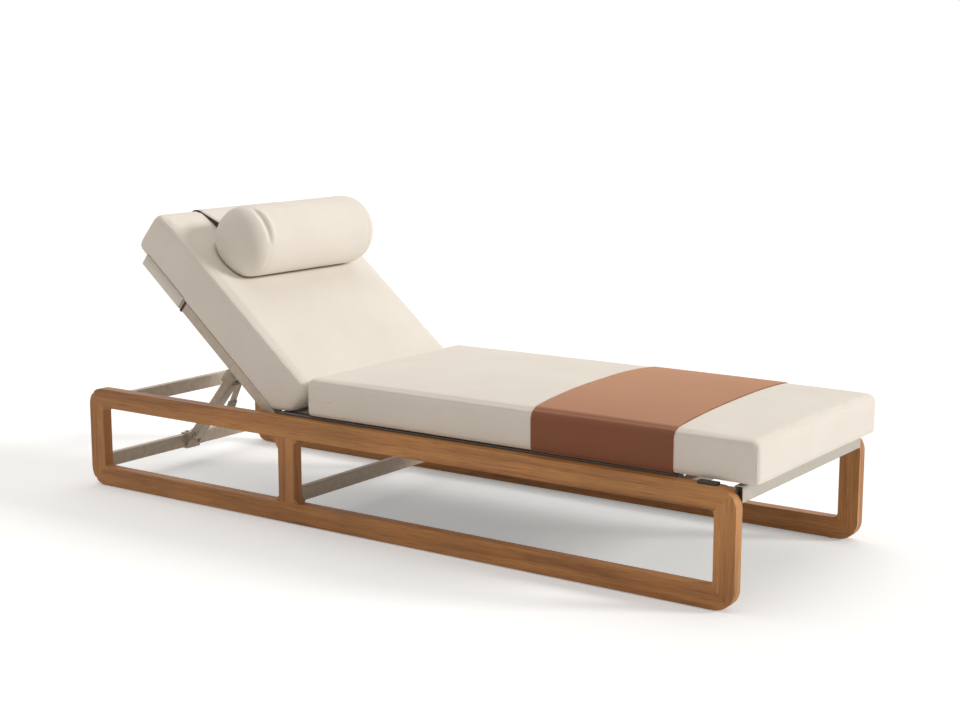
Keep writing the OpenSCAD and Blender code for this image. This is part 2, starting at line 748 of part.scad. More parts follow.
module hinge_eyes() {
    color(bar_grey) on_back() both_sides() difference() {
        union() {
            side_extrude(-eye_y1, -eye_y0) {
                circle(back_tube_h / 2);
                translate([-tube_start, -back_tube_h / 2]) square([tube_start, back_tube_h]);
            }
            translate([0, -(eye_y0 + eye_y1) / 2, 0]) cross_extrude(-tube_start - eye_spigot, -tube_start)
                rounded_rect(back_tube_w - 2 * tube_wall - 0.2, back_tube_h - 2 * tube_wall - 0.2,
                             bar_r - tube_wall);
        }
        translate([0, -eye_y1 - 1, 0]) y_rod_here(back_tube_w + 2, bush_d);
    }
}
module hinge_bushes() {
    color("ivory") on_back() both_sides() difference() {
        union() {
            translate([0, -eye_y1, 0]) y_rod_here(back_tube_w, bush_d);
            translate([0, -eye_y1 - flange_t, 0]) y_rod_here(flange_t, bush_d + 8);
            translate([0, -eye_y0, 0]) y_rod_here(flange_t - 0.5, bush_d + 8);
        }
        translate([0, -eye_y1 - flange_t - 1, 0])
            y_rod_here(back_tube_w + 2 * flange_t + 2, hinge_pin_d + 2 * run_gap);
    }
}

// ---- seat cushion and its band ----
cream = [0.92, 0.89, 0.84];
seat_x0 = hinge_x + seat_cushion_start;
seat_x1 = foot_x + cushion_overhang;
seat_z1 = deck_z + seat_cushion_t;
band_x1 = foot_x - band_from_foot;
band_x0 = band_x1 - band_w;
module band_ring() {
    translate([0, 0, (deck_z + seat_z1) / 2]) cross_extrude(band_x0, band_x1) difference() {
        rounded_rect(cushion_w, seat_cushion_t, cushion_r);
        rounded_rect(cushion_w - 2 * band_t, seat_cushion_t - 2 * band_t, cushion_r - band_t);
    }
}
module band_groove() {
    translate([0, 0, (deck_z + seat_z1) / 2]) cross_extrude(band_x0, band_x1) difference() {
        square([cushion_w + 2, seat_cushion_t + 2], center = true);
        rounded_rect(cushion_w - 2 * band_t, seat_cushion_t - 2 * band_t, cushion_r - band_t);
    }
}
module seat_cushion() {
    color(cream) difference() {
        cushion_block(seat_x0, seat_x1, cushion_w, deck_z, seat_z1, cushion_r);
        band_groove();
    }
}
module foot_band() {
    color([0.6, 0.33, 0.22]) band_ring();
}

// ---- back cushion and the hood over the back's top end ----
back_cushion_end = back_len + back_cushion_over;
back_cushion_z0 = back_tube_h / 2;
back_cushion_z1 = back_cushion_z0 + back_cushion_t;
back_cushion_w = cushion_w - 2 * back_cushion_inset;
// its lower end, past the hinge, ends beside the seat cushion
back_cushion_below = (seat_cushion_start - cushion_gap - back_cushion_z1 * sin(rest_angle))
                     / cos(rest_angle);
module back_cushion() {
    color(cream) difference() {
        on_back() cushion_block(-back_cushion_end, back_cushion_below, back_cushion_w,
                                back_cushion_z0, back_cushion_z1, cushion_r);
        // the lower end is cut level where it meets the deck
        translate([hinge_x - back_cushion_t, -frame_w / 2, 0])
            cube([2 * back_cushion_t + seat_cushion_start, frame_w, deck_z + soft_gap]);
    }
}
hood_len = 170;
hood_y = eye_y1 + soft_gap + hood_t;
module back_hood() {
    hood_x1 = -(back_len + hood_t + soft_gap);
    color(cream) on_back() difference() {
        translate([hood_x1, -hood_y, -back_tube_h / 2 - hood_t])
            cube([hood_len, 2 * hood_y, back_tube_h + hood_t]);
        translate([-back_len - soft_gap, -eye_y1 - soft_gap, -back_tube_h / 2])
            cube([hood_len + 1, 2 * (eye_y1 + soft_gap), back_tube_h + 1]);
    }
}

// Straps under the back's side tubes that hold the hood's mouth.
strap_w = 7;
strap_t = 1.5;
module hood_straps() {
    strap_u = back_len + hood_t + soft_gap - hood_len - 2 * strap_w;
    color([0.2, 0.13, 0.09]) on_back() both_sides()
        translate([0, -(eye_y0 + eye_y1) / 2, 0]) cross_extrude(-strap_u - strap_w, -strap_u)
            difference() {
                translate([-back_tube_w / 2 - strap_t, -back_tube_h / 2 - strap_t])
                    square([back_tube_w + 2 * strap_t, back_tube_h + strap_t]);
                translate([-back_tube_w / 2, -back_tube_h / 2]) square([back_tube_w, back_tube_h + 1]);
                // the inner end stops under the slats
                translate([0, back_tube_h / 2 - slat_t - strap_t]) square([back_tube_w, back_tube_h]);
            }
}

// ---- stay: its foot, its head and the line between them ----
slide_gap = 0.3;                                  // between the sliding pieces
foot_pin_x = head_bar_x + bar_w / 2 + foot_pin_out;
foot_pin_z = low_bar_z + bar_h;
function back_point(u, w, angle) = [hinge_x - u * cos(angle) + w * sin(angle),
                                    hinge_z + u * sin(angle) + w * cos(angle)];
head_pin = back_point(stay_up_back, -stay_drop, rest_angle);
head_pin_flat = back_point(stay_up_back, -stay_drop, 0);
foot_pin = [foot_pin_x, foot_pin_z];
stay_rest = norm(head_pin - foot_pin);            // distance between the pins, back up
stay_shut = norm(head_pin_flat - foot_pin);       // distance between the pins, back flat
stay_angle = atan2(head_pin.y - foot_pin.y, head_pin.x - foot_pin.x);
// Pieces of the stay are drawn along +X from the foot pins, with +Z away from the foot end.
module on_stay() {
    translate([foot_pin_x, 0, foot_pin_z]) rotate([0, -stay_angle, 0]) children();
}
ear_t = 5;
bracket_t = 4;
foot_ear_y = sleeve_w / 2 + 1;                    // inner face of the foot bracket's ears
foot_ear_r = 11;
foot_bracket_w = 2 * (foot_ear_y + ear_t);
foot_bolt_y = 13;
module foot_bolt_holes() {
    for (s = [-1, 1]) translate([head_bar_x, s * foot_bolt_y, low_bar_z - 1])
        cylinder(h = bar_h + 2, d = bolt_d);
}
low_bar_x1 = head_bar_x + bar_w / 2;             // the bar's face towards the foot end
// A channel over the bar's front, top and bottom.
module stay_foot_bracket() {
    color(bar_grey) difference() {
        side_extrude(-foot_bracket_w / 2, foot_bracket_w / 2) difference() {
            translate([low_bar_x1 - bar_w, low_bar_z - bracket_t])
                square([bar_w + bracket_t, bar_h + 2 * bracket_t]);
            translate([low_bar_x1 - bar_w - 1, low_bar_z]) square([bar_w + 1, bar_h]);
        }
        for (s = [-1, 1]) translate([head_bar_x, s * foot_bolt_y, low_bar_z - bracket_t - 1])
            cylinder(h = bar_h + 2 * bracket_t + 2, d = bolt_d);
    }
}
// Two ears welded to the channel's front.
module stay_foot_ears() {
    ear_x0 = low_bar_x1 + bracket_t;
    color(bar_grey) both_sides() difference() {
        side_extrude(-foot_ear_y - ear_t, -foot_ear_y) {
            translate(foot_pin) circle(foot_ear_r);
            polygon([[ear_x0, low_bar_z + bracket_t], [foot_pin_x, foot_pin_z - foot_ear_r], foot_pin,
                     [foot_pin_x, foot_pin_z + foot_ear_r], [ear_x0, foot_pin_z + bracket_t]]);
        }
        translate([foot_pin_x, -foot_bracket_w, foot_pin_z])
            y_rod_here(2 * foot_bracket_w, stay_pin_d + 2 * run_gap);
    }
}
module stay_foot_bolts() {
    z0 = low_bar_z - bracket_t;
    z1 = low_bar_z + bar_h + bracket_t;
    color("silver") for (s = [-1, 1]) translate([head_bar_x, s * foot_bolt_y, 0]) {
        translate([0, 0, z0 - bolt_head_t]) cylinder(h = z1 - z0 + bolt_head_t + nut_t, d = bolt_d);
        translate([0, 0, z0 - bolt_head_t]) cylinder(h = bolt_head_t, d = bolt_head_d);
        translate([0, 0, z1]) cylinder(h = nut_t, d = bolt_head_d, $fn = 6);
    }
}

// Sleeve and lock head
foot_pin_head_t = 3;
foot_pin_head_d = 14;
foot_nut_t = 5;
sleeve_in_w = sleeve_w - 2 * tube_wall;
sleeve_in_d = sleeve_d - 2 * tube_wall;
sleeve_r = 4;
sleeve_tail = 8;                                  // how far the sleeve passes the foot pins
lock_start = lock_end - lock_len;
lock_socket = 8;
sleeve_end = lock_start + lock_socket;
lock_wall = 6;
lock_w = sleeve_w + 10;
lock_up = 22;                                     // from the stay's line to the lock head's faces
lock_down = 17;
cavity_up = lock_up - 2.5;
cavity_down = lock_down - 3;
cavity_w = sleeve_in_w + 2;
module stay_sleeve() {
    color(bar_grey) on_stay() difference() {
        cross_extrude(-sleeve_tail, sleeve_end) tube_section(sleeve_w, sleeve_d, sleeve_r, tube_wall);
        translate([0, -sleeve_w, 0]) y_rod_here(2 * sleeve_w, stay_pin_d);
    }
}
module stay_foot_pins() {
    nut_y = sleeve_in_w / 2 - foot_nut_t;
    ear_out = foot_ear_y + ear_t;
    color("silver") on_stay() both_sides() {
        translate([0, -ear_out - 0.3, 0]) y_rod_here(ear_out + 0.3 - nut_y, stay_pin_d);
        translate([0, -ear_out - 0.3 - foot_pin_head_t, 0]) y_rod_here(foot_pin_head_t, foot_pin_head_d);
        translate([0, -sleeve_in_w / 2, 0]) y_rod_here(foot_nut_t, stay_pin_d + 4);
        translate([0, -foot_ear_y + 0.2, 0]) y_rod_here(foot_ear_y - sleeve_w / 2 - 0.2, stay_pin_d + 5);
    }
}
lever_pin_d = 4;
lever_pin_x = lock_end - 14;
lever_pin_z = 14.5;
knuckle_r = 4.5;
lever_w = 24;
module lock_head() {
    color([0.3, 0.3, 0.31]) on_stay() difference() {
        translate([0, 0, (lock_up - lock_down) / 2]) cross_extrude(lock_start, lock_end)
            rounded_rect(lock_w, lock_up + lock_down, 6);
        cross_extrude(lock_start - 1, sleeve_end)
            rounded_rect(sleeve_w + 0.1, sleeve_d + 0.1, sleeve_r);
        translate([sleeve_end - eps, -cavity_w / 2, -cavity_down])
            cube([lock_end - lock_wall - sleeve_end, cavity_w, cavity_up + cavity_down]);
        // the window that guides the sliding bar
        cross_extrude(lock_end - lock_wall - 1, lock_end + 1)
            square([slide_t + 2 * slide_gap, slide_d + 2 * slide_gap], center = true);
        // the slot that the lever comes out of
        translate([sleeve_end + 3, -lever_w / 2 - 1, -lock_down - 1])
            cube([lock_end - lock_wall - sleeve_end - 6, lever_w + 2, lock_down - cavity_down + 2]);
        translate([lever_pin_x, -lock_w, lever_pin_z]) y_rod_here(2 * lock_w, lever_pin_d);
    }
}
module lever_pin() {
    color("silver") on_stay() translate([lever_pin_x, -lock_w / 2, lever_pin_z])
        y_rod_here(lock_w, lever_pin_d);
}
// A coil on the lever's pin, drawn as closed turns that touch.
spring_wire = 1.2;
spring_turns = 4;
module lever_spring() {
    coil_r = lever_pin_d / 2 + 0.2 + spring_wire / 2;
    start = lever_w / 2 + 0.3 + spring_wire / 2;
    color("silver") on_stay() both_sides() translate([lever_pin_x, start, lever_pin_z])
        rotate([-90, 0, 0]) rotate_extrude() {
            for (i = [0 : spring_turns - 1]) translate([coil_r, i * spring_wire * 0.95])
                circle(spring_wire / 2, $fn = 24);
            translate([coil_r - spring_wire / 4, 0])
                square([spring_wire / 2, (spring_turns - 1) * spring_wire * 0.95]);
        }
}

// Sliding bar, its shoe and its head pin
slide_foot_clear = 8;
slide_start = stay_rest - stay_shut + slide_foot_clear;
shoe_len = 14;
head_gap = 22;                                    // between the head bracket's ears
module stay_bar() {
    eye_w = head_gap - 2;
    color([0.75, 0.74, 0.72]) on_stay() difference() {
        union() {
            cross_extrude(slide_start, stay_rest - eye_r / 2) intersection() {
                square([slide_t, slide_d], center = true);
                rounded_rect(slide_t + 0.01, slide_d + 0.01, 1.5);
            }
            translate([stay_rest, -eye_w / 2, 0]) y_rod_here(eye_w, 2 * eye_r);
        }
        translate([stay_rest, -head_gap, 0]) y_rod_here(2 * head_gap, stay_pin_d);
        translate([slide_start + shoe_len / 2, -head_gap, 0]) y_rod_here(2 * head_gap, shoe_rivet_d);
    }
}
shoe_rivet_d = 4;
module guide_shoe() {
    color("ivory") on_stay() {
        difference() {
            cross_extrude(slide_start, slide_start + shoe_len)
                rounded_rect(sleeve_in_w - 2 * slide_gap, sleeve_in_d - 2 * slide_gap, 2);
            cross_extrude(slide_start - 1, slide_start + shoe_len + 1)
                rounded_rect(slide_t + 0.05, slide_d + 0.05, 1.5);
            translate([slide_start + shoe_len / 2, -sleeve_w, 0]) y_rod_here(2 * sleeve_w, shoe_rivet_d);
        }
        translate([slide_start + shoe_len / 2, -sleeve_in_w / 2 + 1, 0])
            y_rod_here(sleeve_in_w - 2, shoe_rivet_d);
    }
}
head_ear_out = head_gap / 2 + ear_t;
head_pin_len = 2 * (head_ear_out + 5);
module stay_head_pin() {
    color("silver") on_stay() translate([stay_rest, -head_pin_len / 2, 0])
        y_rod_here(head_pin_len, stay_pin_d);
}
module head_pin_clips() {
    color("dimgray") on_stay() both_sides() difference() {
        translate([stay_rest, head_ear_out + 0.5, 0]) y_rod_here(2, stay_pin_d + 7);
        translate([stay_rest, head_ear_out, 0]) y_rod_here(3, stay_pin_d);
    }
}

// Bracket at the stay's head. Its pear-shaped holes give the head pin room as the back moves.
slot_run = 41;
slot_wide_r = 10.6;
slot_tip_r = stay_pin_d / 2 + 0.3;
ear_top = back_tube_h / 2 + bracket_t;
slot_taper = 19;                                  // from the narrow end to the full width
module pear(tip_r, wide_r) {
    hull() {
        circle(tip_r, $fn = 32);
        for (x = [slot_taper, slot_run - 3]) translate([x, 0]) circle(wide_r, $fn = 32);
    }
}
module head_ear_outline() {
    margin = 5;
    translate([0, -stay_drop]) pear(slot_tip_r + margin, slot_wide_r + margin);
    translate([-slot_tip_r - margin, -stay_drop])
        square([slot_run + slot_tip_r + margin + slot_wide_r, stay_drop - back_tube_h / 2]);
}
module stay_head_bracket() {
    plate_x0 = -stay_up_back - slot_tip_r - 5;
    plate_len = slot_run + slot_tip_r + 5 + slot_wide_r;
    color([0.75, 0.74, 0.72]) on_back() difference() {
        union() {
            both_sides() translate([-stay_up_back, 0, 0])
                side_extrude(-head_ear_out, -head_gap / 2) head_ear_outline();
            translate([plate_x0, -bracket_plate_w / 2, -ear_top])
                cube([plate_len, bracket_plate_w, bracket_t]);
        }
        translate([-stay_up_back, 0, -stay_drop]) side_extrude(-head_ear_out - 1, head_ear_out + 1)
            pear(slot_tip_r, slot_wide_r);
        head_bracket_screws(screw_cut = true);
    }
}
bracket_plate_w = 64;
bracket_screw_y = 25;
module head_bracket_screws(screw_cut = false) {
    for (s = [-1, 1], du = [-7, 7]) translate([-stay_tube_u + du, s * bracket_screw_y, -ear_top]) {
        cylinder(h = bracket_t + tube_wall + 3, d = angle_screw_d);
        if (!screw_cut) translate([0, 0, -angle_head_t]) cylinder(h = angle_head_t, d = angle_head_d);
    }
}
module stay_head_screws() {
    color("gray") on_back() head_bracket_screws();
}

// Lever: a plate that tilts and grips the bar, and a handle along the sleeve
plate_reach = 41;
grip_play = 0.06;
module lever_side() {
    circle(knuckle_r);
    rotate(-90 - grip_angle) {
        translate([0, -lever_t / 2]) square([plate_reach, lever_t]);
        translate([plate_reach, 0]) {
            circle(lever_t / 2);
            rotate(-90 + grip_angle + handle_spread) {
                translate([0, -lever_t / 2]) square([handle_len, lever_t]);
                translate([handle_len, 0]) circle(lever_t);
            }
        }
    }
}
// The window's edges, measured along the plate from the pin, just clear the bar at any tilt.
window_near = (lever_pin_z - slide_d / 2 - grip_play - lever_t / 2 * sin(grip_angle)) / cos(grip_angle);
window_far = (lever_pin_z + slide_d / 2 + grip_play + lever_t / 2 * sin(grip_angle)) / cos(grip_angle);
module release_lever() {
    color([0.3, 0.3, 0.31]) on_stay() translate([lever_pin_x, 0, lever_pin_z]) difference() {
        side_extrude(-lever_w / 2, lever_w / 2) lever_side();
        translate([0, -lever_w, 0]) y_rod_here(2 * lever_w, lever_pin_d + 2 * run_gap);
        side_extrude(-slide_t / 2 - slide_gap, slide_t / 2 + slide_gap) rotate(-90 - grip_angle)
            translate([window_near, -lever_t]) square([window_far - window_near, 2 * lever_t]);
    }
}
grip_len = 46;
grip_t = 9;
module lever_grip() {
    color([0.2, 0.2, 0.2]) on_stay() translate([lever_pin_x, 0, lever_pin_z]) difference() {
        side_extrude(-lever_w / 2 - 2, lever_w / 2 + 2) on_handle()
            translate([handle_len + 3 - grip_len / 2, 0]) rounded_rect(grip_len, grip_t, 4);
        side_extrude(-lever_w / 2, lever_w / 2) lever_side();
    }
}
module on_handle() {
    rotate(-90 - grip_angle) translate([plate_reach, 0]) rotate(-90 + grip_angle + handle_spread)
        children();
}

// ---- neck roll, its flap over the back's top end and the weight in the flap's hem ----
roll_up_back = back_len - roll_from_top;
roll_z = back_cushion_z1 + roll_r - roll_sink;
roll_end_r = 70;
module roll_cylinder() {
    rotate([-90, 0, 0]) translate([0, 0, -roll_len / 2]) cylinder(h = roll_len, r = roll_r);
}
module neck_roll() {
    color(cream) on_back() difference() {
        translate([-roll_up_back, 0, roll_z]) rotate([-90, 0, 0]) rotate_extrude() difference() {
            intersection() {
                rounded_rect(2 * roll_r, roll_len, roll_end_r);
                translate([0, -roll_len]) square([2 * roll_r, 2 * roll_len]);
            }
        }
        translate([-roll_up_back - 2 * roll_r, -roll_len, 0])
            cube([4 * roll_r, 2 * roll_len, back_cushion_z1 + soft_gap]);
    }
}
flap_end_u = back_cushion_end + soft_gap + flap_t / 2;
flap_rear_z = -back_tube_h / 2 - hood_t - soft_gap - flap_t / 2;
flap_rear_u = back_len + hood_t + 2 * soft_gap + flap_t / 2;
flap_hem_u = back_len - 110;
flap_rise = 22;
flap_run = flap_end_u - roll_up_back - 0.7 * roll_r;     // it is cut where it meets the roll
module roll_flap() {
    color([0.88, 0.85, 0.8]) on_back() difference() {
        side_extrude(-flap_w / 2, flap_w / 2) strip([
            [-flap_end_u + flap_run, back_cushion_z1 + soft_gap + flap_t / 2 + flap_rise],
            [-flap_end_u, back_cushion_z1 + soft_gap + flap_t / 2],
            [-flap_end_u, back_cushion_z0 - 2],
            [-flap_rear_u, flap_rear_z],
            [-flap_hem_u, flap_rear_z]], flap_t);
        translate([-roll_up_back, 0, roll_z]) roll_cylinder();
    }
}
weight_d = 12;
module flap_weight() {
    color("dimgray") on_back()
        translate([-flap_hem_u - weight_d, -flap_w / 2 + 5, flap_rear_z - flap_t / 2 - weight_d / 2])
            y_rod_here(flap_w - 10, weight_d);
}

near_top_rail();
near_bottom_rail();
near_head_leg();
near_middle_leg();
near_foot_leg();
far_top_rail();
far_bottom_rail();
far_head_leg();
far_middle_leg();
far_foot_leg();
loose_tenons();
head_upper_bar();
head_lower_bar();
middle_bar();
foot_bar();
bar_screws();
foot_bar_angles();
foot_bar_screws();
floor_glides();
deck_bearers();
deck_side_tubes();
deck_slats();
deck_bolts();
tube_caps();
cushion_pads();
hinge_plates();
hinge_pins();
board_screws();
back_rests();
stay_foot_bracket();
stay_foot_ears();
stay_foot_bolts();
seat_cushion();
foot_band();
back_side_tubes();
back_cross_tubes();
back_slats();
hinge_eyes();
hinge_bushes();
hinge_clips();
back_hood();
hood_straps();
back_cushion();
stay_head_bracket();
stay_head_screws();
stay_sleeve();
lock_head();
stay_foot_pins();
lever_pin();
lever_spring();
stay_bar();
guide_shoe();
stay_head_pin();
head_pin_clips();
release_lever();
lever_grip();
neck_roll();
roll_flap();
flap_weight();
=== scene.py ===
"""Looks of the relaxation lounger: teak boards, cushions, neck roll, flap, hood and finishes.

Metres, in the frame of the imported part. +X points to the foot end and +Z up.
"""

import json
import math

import bmesh
import bpy
from mathutils import Matrix, Vector
from mathutils.bvhtree import BVHTree


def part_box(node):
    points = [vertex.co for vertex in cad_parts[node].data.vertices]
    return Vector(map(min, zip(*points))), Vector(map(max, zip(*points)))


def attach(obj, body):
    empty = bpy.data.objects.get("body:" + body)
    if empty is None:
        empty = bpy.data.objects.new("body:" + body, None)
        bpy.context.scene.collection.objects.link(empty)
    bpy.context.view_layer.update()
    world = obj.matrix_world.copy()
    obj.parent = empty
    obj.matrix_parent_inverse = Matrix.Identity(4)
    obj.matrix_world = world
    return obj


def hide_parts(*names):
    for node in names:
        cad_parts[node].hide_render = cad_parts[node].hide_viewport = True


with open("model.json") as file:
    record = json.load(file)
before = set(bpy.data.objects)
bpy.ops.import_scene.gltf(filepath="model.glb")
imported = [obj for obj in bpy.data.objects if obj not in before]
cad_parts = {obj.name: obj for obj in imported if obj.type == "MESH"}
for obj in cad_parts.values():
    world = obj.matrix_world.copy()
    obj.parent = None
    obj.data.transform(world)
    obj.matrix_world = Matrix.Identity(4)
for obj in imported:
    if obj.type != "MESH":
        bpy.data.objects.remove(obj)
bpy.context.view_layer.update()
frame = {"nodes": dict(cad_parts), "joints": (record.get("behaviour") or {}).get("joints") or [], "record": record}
NODES = frame["nodes"]

# ---- places read from the frame ----
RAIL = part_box("near_top_rail")
HEAD_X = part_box("near_head_leg")[0][0]
FOOT_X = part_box("near_foot_leg")[1][0]
FRAME_Z0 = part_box("near_bottom_rail")[0][2]
FRAME_Z1 = RAIL[1][2]
BOARD_Y = (RAIL[0][1], RAIL[1][1])
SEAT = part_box("seat_cushion")
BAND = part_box("foot_band")
DECK_Z = SEAT[0][2]
HINGE = Vector(next(j for j in frame["joints"] if j["name"] == "back_tilt")["pos_m"])

# ---- sizes shared with the construction ----
# Boards, seen from the side
RAIL_W = 0.052
CORNER_R = 0.048
FILLET_R = 0.014
GUSSET_R = 0.030
EDGE_R = 0.0045
MIDDLE_X = HEAD_X + 0.724
# The back, drawn flat: it runs from the hinge at X = 0 towards -X, and Z is its thickness.
BACK_ANGLE = math.radians(40)
BACK_LEN = 0.580
BACK_TUBE_H = 0.030
BACK_END = 0.627                        # far end of the cushion
BACK_BELOW = 0.0452                     # its lower end, past the hinge
BACK_Z0 = BACK_TUBE_H / 2               # its underside
BACK_Z1 = BACK_Z0 + 0.124               # its top
BACK_HALF_W = 0.318
ON_BACK = Matrix.Translation(HINGE) @ Matrix.Rotation(BACK_ANGLE, 4, "Y")
# The neck roll, drawn on the flat back
ROLL_U = 0.413
ROLL_R = 0.098
ROLL_HALF = 0.258
ROLL_Z = BACK_Z1 + ROLL_R - 0.022
ROLL_CENTRE = Vector((-ROLL_U, 0, ROLL_Z))
ROLL_FLOOR = BACK_Z1 + 0.0015           # nothing of the roll is lower

# ---- camera, light and floor, as worked out from the photograph ----
PHOTO_W = 960
FOCAL_PX = 1666.0
SENSOR_W = 36
CAMERA_AT = (2.4902, -3.45265, 1.15926)
CAMERA_DOWN = 0.1742026
CAMERA_TURN = 0.6117202
LAMP_COLOUR = (1.0, 0.995, 0.99)
LAMPS = (                               # name, strength, width in degrees, where it stands
    ("key", 1.9, 13, (0.83, 0.42, 0.37)),
    ("overhead", 1.25, 80, (-0.25, 0.20, 0.95)),
)
ROOM_COLOUR = (1.0, 0.88, 0.775, 1)
ROOM_STRENGTH = 0.36
FLOOR_HALF = 30
FLOOR_GREY = (0.9, 0.9, 0.9, 1)
FLOOR_LIFT_COLOUR = (0.85, 0.95, 1, 1)
FLOOR_LIFT = 0.24                       # what the camera sees on top of the lit floor

# ---- materials ----
TEAK_STREAKS = (42.0, 1.6)              # noise scale across and along the grain
TEAK_PORES = (420.0, 14.0)
TEAK_TONES = ((0.30, (0.260, 0.103, 0.027)), (0.47, (0.425, 0.186, 0.052)),
              (0.60, (0.510, 0.242, 0.074)), (0.78, (0.380, 0.158, 0.043)))
TEAK_PORE_TONES = ((0.36, (0.62, 0.58, 0.54)), (0.50, (1, 1, 1)))
TEAK_SHADES = ((0.35, (0.86, 0.85, 0.85)), (0.65, (1.08, 1.06, 1.04)))
TEAK_ROUGHNESS = 0.52
WEAVE = (900, 260)                      # noise scale across and along a thread
WEAVE_TONES = ((0.25, (0.93, 0.93, 0.93)), (0.75, (1.02, 1.02, 1.02)))
CLOTH_ROUGHNESS = 0.85
CLOTHS = (                              # name, colour, darker patches, sheen, its tint
    ("cream_fabric", (0.80, 0.755, 0.685), (0.76, 0.715, 0.64), 0.2, (1, 1, 1)),
    ("tan_fabric", (0.215, 0.067, 0.027), (0.194, 0.060, 0.024), 0.85, (1.0, 0.62, 0.40)),
    ("brown_fabric", (0.05, 0.022, 0.015), (0.04, 0.017, 0.012), 0.2, (1, 1, 1)),
)
FINISHES = (                            # name, colour, roughness, metallic, fleck
    ("taupe_metal", (0.47, 0.40, 0.32), 0.5, 0.3, 0.12),
    ("pale_metal", (0.46, 0.425, 0.365), 0.45, 0.3, 0.06),
    ("steel", (0.55, 0.55, 0.54), 0.3, 1.0, 0.05),
    ("dark_plastic", (0.035, 0.032, 0.03), 0.6, 0.0, 0.1),
    ("grey_plastic", (0.30, 0.26, 0.215), 0.55, 0.0, 0.12),
    ("dark_metal", (0.10, 0.09, 0.08), 0.45, 0.4, 0.12),
    ("white_nylon", (0.75, 0.72, 0.66), 0.5, 0.0, 0.03),
)

# ---- covers ----
COVER_VOXEL = 0.008
PRESSURE = 4.0
CLOTH_FRAMES = 20
EDGE_SINK = 0.0015                      # how far a cover may sink below its drawn surface
EDGE_SLIDE = 0.003                      # and how far along it
RISE_POWER = 2.6
LEAST_RISE = 0.0004
UNDER_R = 0.010
SEAM_R = 0.0013
CORD_SIDES = 6
CORNER_SEAM_GAP = 0.008
# Seat cushion: corners of its cover inside the construction's, rounding and rise per axis
SEAT_IN_LOW = Vector((0.0005, 0.002, 0))
SEAT_IN_HIGH = Vector((0.002, 0.002, 0.002))
SEAT_R = 0.019
SEAT_RISE = (0.006, 0.006, 0.018)
SEAT_ZIP_UP = 0.045
SEAT_ZIP_FROM = 0.01
SEAT_ZIP_LEN = 0.085
SEAT_ZIP_R = 0.0024
# Band: askew by this slope across the cushion, as in the photograph
BAND_SKEW = 0.042
BAND_LIFT = 0.0022
BAND_OFF_DECK = 0.0002
BAND_T = 0.003
# Back cushion: its cover past the construction's solid, rounding, rise and thinner far end
BACK_OUT_END = 0.005
BACK_IN_NEAR = 0.001
BACK_OUT_FAR = 0.004
BACK_OUT_TOP = 0.002
BACK_R = 0.024
BACK_RISE = (0.003, 0.006, 0.010)
BACK_TAPER = 0.010
BACK_TAPER_RUN = 0.110
BACK_OFF_DECK = 0.002
BACK_SLACK = 0.001

# ---- neck roll ----
ROLL_AROUND = 96
ROLL_RISE = 0.002
ROLL_POLE = 0.005                       # a ring below this radius is a single point
ROLL_ROOM = 0.001                       # between the roll and the cushion under it
ROLL_SEAM_Y = 0.203
ROLL_SEAM_R = 0.0011
ROLL_PINCH = 0.002                      # how far the seam draws the roll in
ROLL_PINCH_RUN = 0.026
PINCH_POWER = 2.2
DOME_POWER = 2.2
PLEAT_FROM, PLEAT_TO = math.radians(38), math.radians(112)
PLEAT_POWER = 0.7
PLEAT_GROOVE = (0.011, 0.006, 0.005)    # depth, place past the seam, width
PLEAT_RIDGE = (0.005, -0.006, 0.008)

# ---- flap and hood ----
FLAP_HALF_W = 0.165
FLAP_T = 0.002
FLAP_COLUMNS = 20
FLAP_STEP = 0.006
FLAP_EASING = 3                         # rounds of smoothing at its corners
FLAP_HEM_U = 0.470
FLAP_END_U = BACK_END + 0.0085
FLAP_CREST_U = FLAP_END_U - 0.019
FLAP_SHADE_WEB = 0.026                        # depth of the dark lining turned down at the roll, partly painted shade of the gap under the flap
FLAP_SHADE_WEB_FROM = 0.05                    # where it starts, as a share of the way to the roll
FLAP_ROLL_U = ROLL_U + 0.079
FLAP_REAR_Z = -BACK_Z0 - 0.002 - 0.0018
HOOD_FROM, HOOD_TO = BACK_LEN - 0.1677, BACK_LEN + 0.0023
HOOD_HALF_W = 0.3143
HOOD_FLARE = 0.0022
HOOD_LIP = 0.006
HOOD_FLOOR = -BACK_Z0 - 0.002
HOOD_R = 0.006
HOOD_ROWS = 14
HOOD_T = 0.0017


# ---- camera, light and floor ----
def make_camera():
    """The photograph's own camera."""
    data = bpy.data.cameras.new("camera")
    data.sensor_width = SENSOR_W
    data.lens = FOCAL_PX / PHOTO_W * SENSOR_W
    camera = bpy.data.objects.new("camera", data)
    bpy.context.scene.collection.objects.link(camera)
    camera.location = CAMERA_AT
    camera.rotation_euler = (math.pi / 2 - CAMERA_DOWN, 0, CAMERA_TURN)
    bpy.context.scene.camera = camera


def make_lights():
    """A key from the foot end and a broad softbox overhead."""
    for name, energy, size, towards in LAMPS:
        sun = bpy.data.lights.new(name, "SUN")
        sun.energy = energy
        sun.angle = math.radians(size)
        sun.color = LAMP_COLOUR
        lamp = bpy.data.objects.new(name, sun)
        lamp.rotation_euler = Vector(towards).to_track_quat("Z", "Y").to_euler()
        bpy.context.scene.collection.objects.link(lamp)


